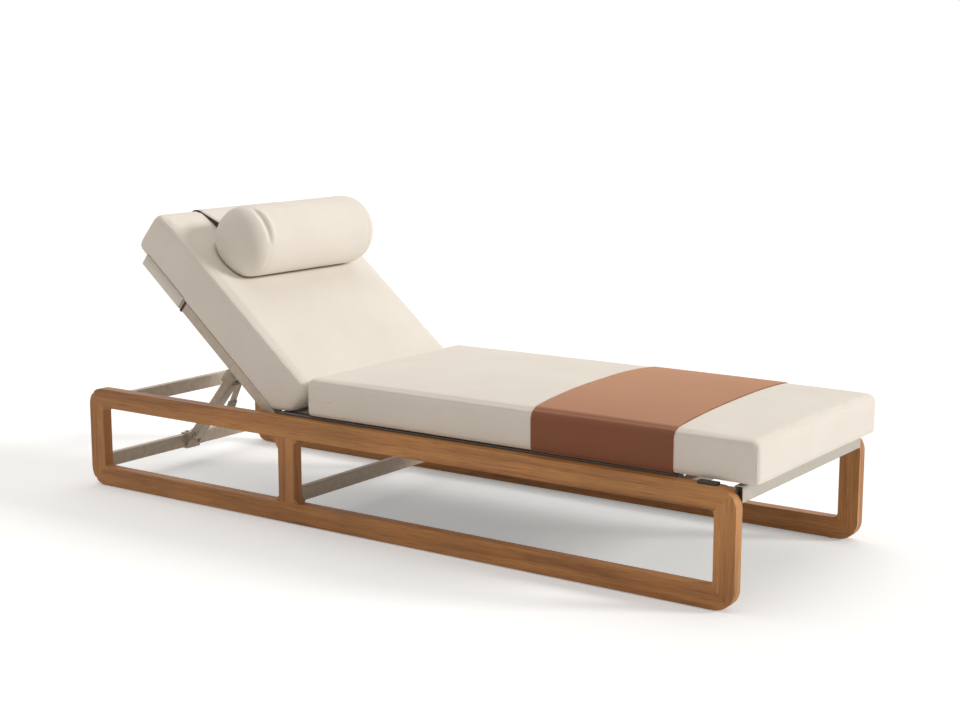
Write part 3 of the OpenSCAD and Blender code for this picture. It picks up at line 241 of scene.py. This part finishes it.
def make_world():
    """A warm room lights the object; the camera and mirrors see plain white."""
    world = bpy.data.worlds.new("world")
    bpy.context.scene.world = world
    world.use_nodes = True
    tree = world.node_tree
    tree.nodes.clear()
    out = tree.nodes.new("ShaderNodeOutputWorld")
    room = tree.nodes.new("ShaderNodeBackground")
    room.inputs["Color"].default_value = ROOM_COLOUR
    room.inputs["Strength"].default_value = ROOM_STRENGTH
    white = tree.nodes.new("ShaderNodeBackground")
    white.inputs["Color"].default_value = (1, 1, 1, 1)
    mix = tree.nodes.new("ShaderNodeMixShader")
    tree.links.new(seen_directly(tree), mix.inputs[0])
    tree.links.new(room.outputs[0], mix.inputs[1])
    tree.links.new(white.outputs[0], mix.inputs[2])
    tree.links.new(mix.outputs[0], out.inputs[0])


def seen_directly(tree):
    """1 for a ray that shows the background: from the camera, in a mirror or through glass."""
    path = tree.nodes.new("ShaderNodeLightPath")
    total = path.outputs["Is Camera Ray"]
    for kind in ("Is Glossy Ray", "Is Transmission Ray"):
        larger = tree.nodes.new("ShaderNodeMath")
        larger.operation = "MAXIMUM"
        tree.links.new(total, larger.inputs[0])
        tree.links.new(path.outputs[kind], larger.inputs[1])
        total = larger.outputs[0]
    return total


def make_floor():
    """A pale floor that keeps the object's shadow and looks white around it."""
    bm = bmesh.new()
    corners = ((-1, -1), (1, -1), (1, 1), (-1, 1))
    bm.faces.new([bm.verts.new((FLOOR_HALF * x, FLOOR_HALF * y, 0)) for x, y in corners])
    floor = link_mesh("floor", bm, smooth=False)
    mat, shader, tree = start_material("floor")
    shader.inputs["Base Color"].default_value = FLOOR_GREY
    shader.inputs["Roughness"].default_value = 0.9
    lift = tree.nodes.new("ShaderNodeMath")
    lift.operation = "MULTIPLY"
    lift.inputs[1].default_value = FLOOR_LIFT
    tree.links.new(seen_directly(tree), lift.inputs[0])
    shader.inputs["Emission Color"].default_value = FLOOR_LIFT_COLOUR
    tree.links.new(lift.outputs[0], shader.inputs["Emission Strength"])
    floor.data.materials.append(mat)


# ---- mesh helpers ----
def link_mesh(name, bm, smooth=True):
    """A new object in the scene from a bmesh, which it frees."""
    mesh = bpy.data.meshes.new(name)
    bmesh.ops.recalc_face_normals(bm, faces=bm.faces)
    bm.to_mesh(mesh)
    bm.free()
    for poly in mesh.polygons:
        poly.use_smooth = smooth
    obj = bpy.data.objects.new(name, mesh)
    bpy.context.scene.collection.objects.link(obj)
    return obj


def finish_piece(obj, body, mat=None, replaced=()):
    """Gives a new piece its material, its body and the nodes that it stands for."""
    if mat is not None:
        obj.data.materials.clear()
        obj.data.materials.append(mat)
    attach(obj, body)
    if replaced:
        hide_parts(*replaced)
    return obj


def arc(cx, cz, r, a0, a1, steps=6):
    """Points on an arc, angles in degrees."""
    turn = [math.radians(a0 + (a1 - a0) * i / steps) for i in range(steps + 1)]
    return [(cx + r * math.cos(a), cz + r * math.sin(a)) for a in turn]


# ---- materials ----
def start_material(name):
    """A material with a bare shader, its shader and its node tree."""
    mat = bpy.data.materials.new(name)
    mat.use_nodes = True
    tree = mat.node_tree
    tree.nodes.clear()
    out = tree.nodes.new("ShaderNodeOutputMaterial")
    shader = tree.nodes.new("ShaderNodeBsdfPrincipled")
    tree.links.new(shader.outputs[0], out.inputs["Surface"])
    return mat, shader, tree


def place_noise(tree, scale, detail=4, rough=0.55, stretch=(1, 1, 1), warp=0.0):
    """A noise in the object's own coordinates, stretched along the axes."""
    coord = tree.nodes.new("ShaderNodeTexCoord")
    mapping = tree.nodes.new("ShaderNodeMapping")
    mapping.inputs["Scale"].default_value = stretch
    texture = tree.nodes.new("ShaderNodeTexNoise")
    texture.inputs["Scale"].default_value = scale
    texture.inputs["Detail"].default_value = detail
    texture.inputs["Roughness"].default_value = rough
    texture.inputs["Distortion"].default_value = warp
    tree.links.new(coord.outputs["Object"], mapping.inputs["Vector"])
    tree.links.new(mapping.outputs["Vector"], texture.inputs["Vector"])
    return texture.outputs["Fac"]


def ramp(tree, value, stops):
    """A colour for each value, blended between the stops."""
    node = tree.nodes.new("ShaderNodeValToRGB")
    elements = node.color_ramp.elements
    while len(elements) < len(stops):
        elements.new(0.5)
    for element, (at, colour) in zip(elements, stops):
        element.position = at
        element.color = (*colour, 1)
    tree.links.new(value, node.inputs["Fac"])
    return node.outputs["Color"]


def multiply(tree, amount, a, b):
    """The colour a, darkened by the colour b."""
    node = tree.nodes.new("ShaderNodeMix")
    node.data_type = "RGBA"
    node.blend_type = "MULTIPLY"
    node.inputs["Factor"].default_value = amount
    tree.links.new(a, node.inputs["A"])
    tree.links.new(b, node.inputs["B"])
    return node.outputs["Result"]


def add_bump(tree, shader, height, strength, distance):
    """Fine relief where height varies."""
    bump = tree.nodes.new("ShaderNodeBump")
    bump.inputs["Strength"].default_value = strength
    bump.inputs["Distance"].default_value = distance
    tree.links.new(height, bump.inputs["Height"])
    tree.links.new(bump.outputs["Normal"], shader.inputs["Normal"])


def teak_material(name, axis):
    """Oiled teak with its grain along one axis."""
    mat, shader, tree = start_material(name)
    streak, pore = ([along if k == axis else across for k in range(3)]
                    for across, along in (TEAK_STREAKS, TEAK_PORES))
    bands = place_noise(tree, 1.0, 7, 0.62, streak, warp=0.5)
    pores = place_noise(tree, 1.0, 3, 0.6, pore)
    patches = place_noise(tree, 3.2, 2, 0.5)
    colour = multiply(tree, 0.75, ramp(tree, bands, TEAK_TONES), ramp(tree, pores, TEAK_PORE_TONES))
    colour = multiply(tree, 1.0, colour, ramp(tree, patches, TEAK_SHADES))
    tree.links.new(colour, shader.inputs["Base Color"])
    shader.inputs["Roughness"].default_value = TEAK_ROUGHNESS
    add_bump(tree, shader, pores, 0.25, 0.0004)
    return mat


def fabric_material(name, colour, darker, sheen, tint):
    """Fine flat weave with faint mottling."""
    mat, shader, tree = start_material(name)
    patches = place_noise(tree, 7.0, 4, 0.6)
    threads = mix_threads(tree)
    base = ramp(tree, patches, [(0.3, darker), (0.7, colour)])
    fleck = ramp(tree, threads, WEAVE_TONES)
    tree.links.new(multiply(tree, 1.0, base, fleck), shader.inputs["Base Color"])
    shader.inputs["Roughness"].default_value = CLOTH_ROUGHNESS
    shader.inputs["Sheen Weight"].default_value = sheen
    shader.inputs["Sheen Tint"].default_value = (*tint, 1)
    add_bump(tree, shader, threads, 0.35, 0.0003)
    return mat


def mix_threads(tree):
    """Warp and weft as two noises drawn out at right angles."""
    across, along = WEAVE
    warp = place_noise(tree, 1.0, 2, 0.5, (across, along, across))
    weft = place_noise(tree, 1.0, 2, 0.5, (along, across, along))
    node = tree.nodes.new("ShaderNodeMath")
    node.operation = "MULTIPLY_ADD"
    node.inputs[1].default_value = 0.5
    half = tree.nodes.new("ShaderNodeMath")
    half.operation = "MULTIPLY"
    half.inputs[1].default_value = 0.5
    tree.links.new(warp, node.inputs[0])
    tree.links.new(weft, half.inputs[0])
    tree.links.new(half.outputs[0], node.inputs[2])
    return node.outputs[0]


def metal_material(name, colour, rough, metallic, fleck):
    """Powder coat, bare metal or plastic: a colour with a fine fleck."""
    mat, shader, tree = start_material(name)
    low = tuple(c * (1 - fleck) for c in colour)
    high = tuple(min(1, c * (1 + fleck)) for c in colour)
    patches = place_noise(tree, 60.0, 5, 0.65)
    tree.links.new(ramp(tree, patches, [(0.3, low), (0.7, high)]), shader.inputs["Base Color"])
    shader.inputs["Roughness"].default_value = rough
    shader.inputs["Metallic"].default_value = metallic
    add_bump(tree, shader, place_noise(tree, 900.0, 2), 0.08, 0.0002)
    return mat


def make_materials():
    """All materials by slot name, and teak_up for boards that stand upright."""
    made = {
        "teak": teak_material("teak_lengthwise", 0),
        "teak_up": teak_material("teak_upright", 2),
        "tenon_wood": teak_material("tenon_wood", 0),
    }
    for name, *look in FINISHES:
        made[name] = metal_material(name, *look)
    for name, *look in CLOTHS:
        made[name] = fabric_material(name, *look)
    return made


def dress_nodes(materials):
    """The construction's own nodes take the material of their slot."""
    for part in frame["record"]["subparts"]:
        node = NODES[part["node"]]
        node.data.materials.clear()
        node.data.materials.append(materials[part["material_slot"]])


# ---- teak boards ----
def rail_outline(top):
    """The long board: half of each outer corner, half of each inner fillet, mitres between."""
    z1, z0 = FRAME_Z1, FRAME_Z1 - RAIL_W
    r, f = CORNER_R, FILLET_R
    points = arc(HEAD_X + r, z1 - r, r, 135, 90) + arc(FOOT_X - r, z1 - r, r, 90, 45)
    points += arc(FOOT_X - RAIL_W - f, z0 - f, f, 45, 90)
    gusset = GUSSET_R if top else FILLET_R
    points += [(MIDDLE_X + RAIL_W / 2 + f, z0), (MIDDLE_X - RAIL_W / 2 - gusset, z0)]
    points += arc(HEAD_X + RAIL_W + f, z0 - f, f, 90, 135)
    if not top:
        points = [(x, FRAME_Z0 + FRAME_Z1 - z) for x, z in points]
    return points


def leg_outline(at_head):
    """A head or foot leg, mitred to both rails."""
    z1, z0 = FRAME_Z1, FRAME_Z0
    r, f, w = CORNER_R, FILLET_R, RAIL_W
    points = arc(HEAD_X + r, z1 - r, r, 135, 180) + arc(HEAD_X + r, z0 + r, r, 180, 225)
    points += arc(HEAD_X + w + f, z0 + w + f, f, 225, 180)
    points += arc(HEAD_X + w + f, z1 - w - f, f, 180, 135)
    if not at_head:
        points = [(HEAD_X + FOOT_X - x, z) for x, z in points]
    return points


def middle_outline():
    """The middle leg with its fillets, and the larger one on its head side."""
    x0, x1 = MIDDLE_X - RAIL_W / 2, MIDDLE_X + RAIL_W / 2
    z0, z1 = FRAME_Z0 + RAIL_W, FRAME_Z1 - RAIL_W
    f, g = FILLET_R, GUSSET_R
    points = arc(x0 - f, z0 + f, f, 270, 360) + arc(x0 - g, z1 - g, g, 0, 90)
    points += arc(x1 + f, z1 - f, f, 90, 180) + arc(x1 + f, z0 + f, f, 180, 270)
    return points


def is_joint_edge(a, b):
    """A mitre line, or the line where the middle leg meets a rail."""
    near, mitre_run, leg_run = 1e-5, 0.03, 0.16
    (xa, za), (xb, zb) = a, b
    run, rise = abs(xa - xb), abs(za - zb)
    if abs(run - rise) < near and run > mitre_run:
        return True
    if rise > near:
        return False
    inner = min(abs(za - FRAME_Z1 + RAIL_W), abs(za - FRAME_Z0 - RAIL_W)) < near
    return inner and abs((xa + xb) / 2 - MIDDLE_X) < RAIL_W and run < leg_run


def board(name, outline, side, mat):
    """Extrudes an outline through the board's thickness and rounds its free edges."""
    y0, y1 = BOARD_Y
    if side == "far":
        y0, y1 = -y1, -y0
    bm = bmesh.new()
    front = [bm.verts.new((x, y0, z)) for x, z in outline]
    back = [bm.verts.new((x, y1, z)) for x, z in outline]
    bm.faces.new(front)
    bm.faces.new(back[::-1])
    count = len(outline)
    rounded = []
    for i in range(count):
        j = (i + 1) % count
        bm.faces.new((front[j], front[i], back[i], back[j]))
        if not is_joint_edge(outline[i], outline[j]):
            rounded += [bm.edges.get((front[i], front[j])), bm.edges.get((back[i], back[j]))]
    bmesh.ops.bevel(bm, geom=rounded, offset=EDGE_R, segments=4, profile=0.5, affect="EDGES")
    obj = link_mesh(f"{side}_{name}_board", bm, smooth=False)
    smooth_by_angle(obj, 30)
    return finish_piece(obj, "frame", mat, [f"{side}_{name}"])


def smooth_by_angle(obj, degrees):
    """Smooth shading, but sharp where faces meet at more than the angle."""
    mesh = obj.data
    mesh.polygons.foreach_set("use_smooth", [True] * len(mesh.polygons))
    mesh.set_sharp_from_angle(angle=math.radians(degrees))


def make_boards(materials):
    """Both side frames, five boards each."""
    lengthwise, upright = materials["teak"], materials["teak_up"]
    for side in ("near", "far"):
        board("top_rail", rail_outline(True), side, lengthwise)
        board("bottom_rail", rail_outline(False), side, lengthwise)
        board("head_leg", leg_outline(True), side, upright)
        board("middle_leg", middle_outline(), side, upright)
        board("foot_leg", leg_outline(False), side, upright)


# ---- cushions ----
def grid_lines(half, r, step):
    """Positions along one axis: close together in the rounded end, even between."""
    ends = [half - r + r * math.sin(math.radians(a)) for a in range(0, 91, 15)]
    count = max(2, round(2 * (half - r) / step))
    middle = [-(half - r) + 2 * (half - r) * i / count for i in range(1, count)]
    return sorted([-e for e in ends] + middle + ends)


def rounded_box(low, high, r, step=0.02):
    """A closed box with round edges, as a bmesh of quads."""
    centre = (Vector(low) + Vector(high)) / 2
    half = (Vector(high) - Vector(low)) / 2
    lines = [grid_lines(h, r, step) for h in half]
    bm = bmesh.new()
    made = {}

    def corner(point):
        key = tuple(round(c, 6) for c in point)
        if key not in made:
            inner = Vector([max(-h + r, min(h - r, c)) for c, h in zip(point, half)])
            out = Vector(point) - inner
            made[key] = bm.verts.new(centre + inner + out.normalized() * r)
        return made[key]

    for axis in range(3):
        others = [a for a in range(3) if a != axis]
        for side in (-half[axis], half[axis]):
            for a0, a1 in zip(lines[others[0]], lines[others[0]][1:]):
                for b0, b1 in zip(lines[others[1]], lines[others[1]][1:]):
                    face = []
                    for a, b in ((a0, b0), (a1, b0), (a1, b1), (a0, b1)):
                        point = [0, 0, 0]
                        point[axis], point[others[0]], point[others[1]] = side, a, b
                        face.append(corner(point))
                    if len(set(face)) == 4:
                        bm.faces.new(face)
    return bm


def cushion_box(low, high, r):
    """A box with round edges on top and nearly square ones underneath."""
    bm = rounded_box(low - Vector((0, 0, UNDER_R)), high, r)
    for vertex in bm.verts:
        vertex.co.z = max(vertex.co.z, low.z)
    bmesh.ops.remove_doubles(bm, verts=bm.verts, dist=0.0001)
    return bm


def applied(obj):
    """The object's mesh with its modifiers, as its only mesh."""
    graph = bpy.context.evaluated_depsgraph_get()
    mesh = bpy.data.meshes.new_from_object(obj.evaluated_get(graph))
    obj.modifiers.clear()
    obj.data = mesh
    return obj


def remesh(obj):
    """An even mesh over the same surface, for the cloth run."""
    mod = obj.modifiers.new("remesh", "REMESH")
    mod.mode = "VOXEL"
    mod.voxel_size = COVER_VOXEL
    return applied(obj)


def blow_up(obj):
    """Runs the piece as cloth with air pressure inside."""
    scene = bpy.context.scene
    mod = obj.modifiers.new("cloth", "CLOTH")
    cloth = mod.settings
    cloth.quality = 6
    cloth.mass = 0.25
    cloth.tension_stiffness = 12
    cloth.compression_stiffness = 12
    cloth.shear_stiffness = 5
    cloth.bending_stiffness = 0.6
    cloth.use_pressure = True
    cloth.uniform_pressure_force = PRESSURE
    cloth.effector_weights.gravity = 0
    mod.point_cache.frame_end = CLOTH_FRAMES
    for step in range(1, CLOTH_FRAMES + 1):
        scene.frame_set(step)
    applied(obj)
    scene.frame_set(1)


def box_rise(low, high, rise):
    """How far a point of a box may swell: rise in the middle of a face, hardly at its edges."""
    middle, half = (low + high) / 2, (high - low) / 2

    def at(point, out):
        room = [1 - min(1, abs(c / h)) ** RISE_POWER for c, h in zip(point - middle, half)]
        most = sum(abs(out[k]) * rise[k] * room[k - 1] * room[k - 2] for k in range(3))
        return most + LEAST_RISE

    return at


def swell(obj, rise, keep):
    """Pads the piece out as far as rise and keep let each point go."""
    start = [(v.co.copy(), v.normal.copy()) for v in obj.data.vertices]
    blow_up(obj)
    for vertex, (old, out) in zip(obj.data.vertices, start):
        move = vertex.co - old
        height = move.dot(out)
        slide = move - out * height
        if slide.length > EDGE_SLIDE:
            slide *= EDGE_SLIDE / slide.length
        most = rise(old, out)
        height = max(-EDGE_SINK, most * math.tanh(height / most))
        vertex.co = keep(old + out * height + slide)
    mod = obj.modifiers.new("smooth", "SUBSURF")
    mod.levels = mod.render_levels = 1
    applied(obj)
    obj.data.polygons.foreach_set("use_smooth", [True] * len(obj.data.polygons))
    return obj


def surface_of(obj):
    """The object's surface as a tree that finds its nearest point."""
    bm = bmesh.new()
    bm.from_mesh(obj.data)
    tree = BVHTree.FromBMesh(bm)
    bm.free()
    return tree


def seam(name, path, base, body, mat, radius=SEAM_R, closed=False, sink=0.35):
    """A sewn edge: a thin cord along a path, partly sunk in the surface under it."""
    tree = surface_of(base)
    points = []
    for p in path:
        at, normal, _, _ = tree.find_nearest(p)
        points.append((at - normal * radius * sink, normal))
    bm = bmesh.new()
    rings = []
    count = len(points)
    for i, (p, normal) in enumerate(points):
        ahead = points[(i + 1) % count if closed else min(i + 1, count - 1)][0]
        behind = points[i - 1 if closed else max(i - 1, 0)][0]
        along = (ahead - behind).normalized()
        side = along.cross(normal).normalized()
        up = side.cross(along)
        rings.append([bm.verts.new(p + radius * (side * math.cos(a) + up * math.sin(a)))
                      for a in (math.radians(360 / CORD_SIDES * k) for k in range(CORD_SIDES))])
    for i in range(count if closed else count - 1):
        a, b = rings[i], rings[(i + 1) % count]
        for k in range(CORD_SIDES):
            j = (k + 1) % CORD_SIDES
            bm.faces.new((a[k], a[j], b[j], b[k]))
    if not closed:
        bm.faces.new(rings[0][::-1])
        bm.faces.new(rings[-1])
    return finish_piece(link_mesh(name, bm), body, mat)


def dense(points, step=0.012):
    """The same line with a point at least every step."""
    out = []
    for a, b in zip(points, points[1:]):
        parts = max(1, round((b - a).length / step))
        out += [a.lerp(b, i / parts) for i in range(parts)]
    return out + [points[-1]]


def box_seams(name, base, low, high, body, mat, place=Matrix()):
    """Seams round the top and bottom panels and down the four corners of a boxed cushion."""
    (x0, y0, z0), (x1, y1, z1) = low, high
    round_it = [(x0, y0), (x1, y0), (x1, y1), (x0, y1)]
    for level, z in (("top", z1), ("bottom", z0)):
        path = [place @ p for p in dense([Vector((x, y, z)) for x, y in round_it + round_it[:1]])]
        seam(f"{name}_{level}_seam", path[:-1], base, body, mat, closed=True)
    low_z, high_z = z0 + CORNER_SEAM_GAP, z1 - CORNER_SEAM_GAP
    for i, (x, y) in enumerate(round_it):
        path = [place @ p for p in dense([Vector((x, y, low_z)), Vector((x, y, high_z))])]
        seam(f"{name}_corner_seam_{i}", path, base, body, mat)


def make_seat(materials):
    """The seat cushion's cover with its seams, a zip near the head end and the band."""
    low = Vector(SEAT[0]) + SEAT_IN_LOW
    high = Vector(SEAT[1]) - SEAT_IN_HIGH
    seat = remesh(link_mesh("seat_cushion_cover", cushion_box(low, high, SEAT_R)))

    def keep(new):
        return Vector((max(new.x, SEAT[0][0]), new.y, max(new.z, DECK_Z)))

    swell(seat, box_rise(low, high, SEAT_RISE), keep)
    cream = materials["cream_fabric"]
    finish_piece(seat, "frame", cream, ["seat_cushion"])
    box_seams("seat", seat, low, high, "frame", cream)
    zip_z = SEAT_ZIP_UP + low.z
    ends = [Vector((low.x + run, low.y, zip_z)) for run in (SEAT_ZIP_FROM, SEAT_ZIP_LEN)]
    seam("seat_zip", dense(ends), seat, "frame", cream, radius=SEAT_ZIP_R)
    make_band(seat, materials["tan_fabric"])


def make_band(seat, mat):
    """The coloured band is a sleeve on the seat cushion's surface."""
    bm = bmesh.new()
    bm.from_mesh(seat.data)
    for x, keep_side in ((BAND[0][0], -1), (BAND[1][0], 1)):
        bmesh.ops.bisect_plane(bm, geom=bm.verts[:] + bm.edges[:] + bm.faces[:],
                               plane_co=(x, SEAT[0][1], 0),
                               plane_no=(keep_side, keep_side * BAND_SKEW, 0), clear_outer=True)
    bm.normal_update()
    for vertex in bm.verts:
        vertex.co += vertex.normal * BAND_LIFT
        vertex.co.z = max(vertex.co.z, DECK_Z + BAND_OFF_DECK)
    band = link_mesh("foot_band_cover", bm)
    mod = band.modifiers.new("thick", "SOLIDIFY")
    mod.thickness = BAND_T
    mod.offset = -1
    applied(band)
    finish_piece(band, "frame", mat, ["foot_band"])


def make_back(materials):
    """The back cushion's cover: drawn flat, cut off level with the deck, then tilted."""
    low = Vector((-BACK_END - BACK_OUT_END, -BACK_HALF_W + BACK_IN_NEAR, BACK_Z0))
    high = Vector((BACK_BELOW, BACK_HALF_W + BACK_OUT_FAR, BACK_Z1 + BACK_OUT_TOP))
    bm = cushion_box(low, high, BACK_R)
    for vertex in bm.verts:
        taper = max(0.0, 1 - (vertex.co.x - low.x) / BACK_TAPER_RUN)
        if vertex.co.z > (BACK_Z0 + BACK_Z1) / 2:
            vertex.co.z -= BACK_TAPER * taper ** 2
    flat = ON_BACK.inverted()
    level = flat @ Vector((HINGE.x, 0, DECK_Z + BACK_OFF_DECK))
    normal = (flat.to_3x3() @ Vector((0, 0, -1))).normalized()
    cut = bmesh.ops.bisect_plane(bm, geom=bm.verts[:] + bm.edges[:] + bm.faces[:],
                                 plane_co=level, plane_no=normal, clear_outer=True)
    edges = [e for e in cut["geom_cut"] if isinstance(e, bmesh.types.BMEdge)]
    bmesh.ops.contextual_create(bm, geom=edges)
    back = remesh(link_mesh("back_cushion_cover", bm))

    def keep(new):
        new.z = min(max(new.z, BACK_Z0), under_roll(new))
        new.x = min(new.x, BACK_BELOW + BACK_SLACK)
        under = (new - level).dot(normal)
        return new - normal * under if under > 0 else new

    swell(back, box_rise(low, high, BACK_RISE), keep)
    back.data.transform(ON_BACK)
    cream = materials["cream_fabric"]
    finish_piece(back, "backrest", cream, ["back_cushion"])
    box_seams("back", back, low, high, "backrest", cream, ON_BACK)


# ---- neck roll ----
def roll_radius(y):
    """Radius of the roll at a distance from its middle: full, drawn in at the seam, then domed."""
    past = abs(y) - ROLL_SEAM_Y
    if past <= 0:
        near = max(0.0, 1 + past / ROLL_PINCH_RUN)
        return ROLL_R - ROLL_PINCH * near ** PINCH_POWER
    share = past / (ROLL_HALF - ROLL_SEAM_Y)
    return (ROLL_R - ROLL_PINCH) * max(0.0, 1 - share ** DOME_POWER) ** (1 / DOME_POWER)


def under_roll(point):
    """Height that the cushion may reach under the roll, which rests in it."""
    r = roll_radius(point.y) if abs(point.y) < ROLL_HALF else 0
    across = abs(point.x - ROLL_CENTRE.x)
    if across >= r:
        return BACK_Z1 + 1
    return max(ROLL_FLOOR, ROLL_Z - math.sqrt(r ** 2 - across ** 2)) - ROLL_ROOM


def roll_rings():
    """Distances from the middle of the roll's rings, close together at the seam and the dome."""
    half = [ROLL_SEAM_Y * i / 14 for i in range(13)]
    half += [ROLL_SEAM_Y - ROLL_PINCH_RUN * k for k in (0.8, 0.5, 0.25, 0.1, 0)]
    half += [ROLL_SEAM_Y + (ROLL_HALF - ROLL_SEAM_Y) * math.sin(math.radians(a))
             for a in range(6, 91, 6)]
    half = sorted(set(half))
    return [-y for y in half[:0:-1]] + half


def pleat(y, turn):
    """Depth of the tuck sewn into the near end: a groove outside the seam and a ridge inside it."""
    if not PLEAT_FROM < turn < PLEAT_TO:
        return 0.0
    strength = math.sin(math.pi * (turn - PLEAT_FROM) / (PLEAT_TO - PLEAT_FROM)) ** PLEAT_POWER
    past = -y - ROLL_SEAM_Y
    groove, ridge = (size * math.exp(-((past - place) / width) ** 2)
                     for size, place, width in (PLEAT_GROOVE, PLEAT_RIDGE))
    return strength * (groove - ridge)


def roll_point(y, turn):
    """A point of the roll before it is padded, on the flat back."""
    r = roll_radius(y) - ROLL_RISE - pleat(y, turn)
    return on_floor(ROLL_CENTRE + Vector((r * math.cos(turn), y, r * math.sin(turn))))


def make_roll(materials):
    """The roll from rings along its length, each end closed in one point."""
    turns = [2 * math.pi * k / ROLL_AROUND for k in range(ROLL_AROUND)]
    bm = bmesh.new()
    rings = []
    for y in roll_rings():
        if roll_radius(y) < ROLL_POLE:
            rings.append([bm.verts.new(ROLL_CENTRE + Vector((0, y, 0)))])
        else:
            rings.append([bm.verts.new(roll_point(y, turn)) for turn in turns])
    for a, b in zip(rings, rings[1:]):
        for k in range(ROLL_AROUND):
            j = (k + 1) % ROLL_AROUND
            corners = [a[k % len(a)], b[k % len(b)], b[j % len(b)], a[j % len(a)]]
            bm.faces.new(list(dict.fromkeys(corners)))
    roll = swell(link_mesh("neck_roll_cover", bm), lambda point, out: ROLL_RISE, on_floor)
    roll.data.transform(ON_BACK)
    cream = materials["cream_fabric"]
    finish_piece(roll, "neck_roll", cream, ["neck_roll"])
    for name, side in (("near", -1), ("far", 1)):
        path = [ON_BACK @ roll_point(side * ROLL_SEAM_Y, turn) for turn in turns]
        seam(f"neck_roll_seam_{name}", path, roll, "neck_roll", cream, ROLL_SEAM_R, True, 0.4)


def on_floor(point):
    """The roll lies on the cushion's top, so nothing of it is lower."""
    return Vector((point.x, point.y, max(point.z, ROLL_FLOOR)))


# ---- flap and hood ----
def flap_path():
    """Straight from the roll to the cushion's top edge, down its end and under the hood."""
    end, rear = FLAP_END_U, FLAP_REAR_Z
    over = [(-FLAP_ROLL_U, BACK_Z1 + 0.036), (-FLAP_CREST_U, BACK_Z1 - 0.0035),
            (-end + 0.004, BACK_Z1 - 0.016)]
    down = [(-end, BACK_Z1 - 0.038), (-end, BACK_Z0 + 0.006)]
    under = [(-BACK_LEN - 0.008, rear + 0.004), (-BACK_LEN + 0.004, rear), (-FLAP_HEM_U, rear)]
    return over + down + under


def flap_line():
    """The flap's path as closely spaced points with its corners eased."""
    fine = dense([Vector((x, 0, z)) for x, z in flap_path()], FLAP_STEP)
    for _ in range(FLAP_EASING):
        fine = [fine[0]] + [(fine[i - 1] + fine[i] * 2 + fine[i + 1]) / 4
                            for i in range(1, len(fine) - 1)] + [fine[-1]]
    return fine


def add_shade_web(bm, line, edge):
    """The dark lining turned down along one edge, partly painted shade of the gap under the flap: nothing at the
    crest, full depth at the roll.
    """
    run = FLAP_CREST_U - FLAP_ROLL_U
    count = next(i for i, p in enumerate(line) if p.x + FLAP_CREST_U < FLAP_SHADE_WEB_FROM * run)
    lower = [bm.verts.new(edge[i].co - Vector((0, 0, FLAP_SHADE_WEB * (line[i].x + FLAP_CREST_U) / run)))
             for i in range(count)]
    for i in range(count - 1):
        bm.faces.new((edge[i], edge[i + 1], lower[i + 1], lower[i])).material_index = 1
    bm.faces.new((edge[count - 1], edge[count], lower[-1])).material_index = 1


def make_flap(materials):
    """The flap with its linings, cream outside and dark underneath and at its edges; the dark lining is partly
    painted shade of the gap under the flap.
    """
    line = flap_line()
    columns = [FLAP_HALF_W * (2 * k / FLAP_COLUMNS - 1) for k in range(FLAP_COLUMNS + 1)]
    bm = bmesh.new()
    rows = [[bm.verts.new(Vector((p.x, y, p.z))) for y in columns] for p in line]
    for a, b in zip(rows, rows[1:]):
        for k in range(len(columns) - 1):
            bm.faces.new((a[k], a[k + 1], b[k + 1], b[k]))
    # dark webs at both edges: brown lining that also paints the shade in the gap under the flap
    for column in (0, -1):
        add_shade_web(bm, line, [row[column] for row in rows])
    flap = link_mesh("roll_flap_cloth", bm)
    if flap.data.polygons[0].normal.z < 0:
        flap.data.flip_normals()
    flap.data.transform(ON_BACK)
    flap.data.materials.append(materials["cream_fabric"])
    flap.data.materials.append(materials["brown_fabric"])
    mod = flap.modifiers.new("thick", "SOLIDIFY")
    mod.thickness = FLAP_T
    mod.offset = 0
    # the dark underside and rim: a brown lining, partly painted shade of the gap under the flap
    mod.material_offset = 1
    mod.material_offset_rim = 1
    applied(flap)
    finish_piece(flap, "neck_roll", None, ["roll_flap"])
    length = sum((b - a).length for a, b in zip(line, line[1:]))


def make_hood(materials):
    """Cream pocket over the back frame's top end, open towards the cushion."""
    r, top = HOOD_R, BACK_Z0 + HOOD_LIP
    corner = arc(HOOD_HALF_W - r, HOOD_FLOOR + r, r, 0, -90, 4)
    rim = HOOD_HALF_W + HOOD_FLARE
    section = [(-rim, top)] + [(-y, z) for y, z in corner] + corner[::-1] + [(rim, top)]
    us = [HOOD_FROM + (HOOD_TO - HOOD_FROM) * i / HOOD_ROWS for i in range(HOOD_ROWS + 1)]
    bm = bmesh.new()
    rows = [[bm.verts.new((-u, y, z)) for y, z in section] for u in us]
    for a, b in zip(rows, rows[1:]):
        for k in range(len(section) - 1):
            bm.faces.new((a[k], a[k + 1], b[k + 1], b[k]))
    bm.faces.new(rows[-1])
    hood = link_mesh("back_hood_cloth", bm, smooth=False)
    smooth_by_angle(hood, 50)
    mod = hood.modifiers.new("thick", "SOLIDIFY")
    mod.thickness = HOOD_T
    mod.offset = -1
    applied(hood)
    hood.data.transform(ON_BACK)
    finish_piece(hood, "backrest", materials["cream_fabric"], ["back_hood"])


bpy.context.scene.view_settings.view_transform = "Standard"
make_camera()
make_world()
make_lights()
make_floor()
MATERIALS = make_materials()
dress_nodes(MATERIALS)
make_boards(MATERIALS)
make_seat(MATERIALS)
make_back(MATERIALS)
make_roll(MATERIALS)
make_flap(MATERIALS)
make_hood(MATERIALS)
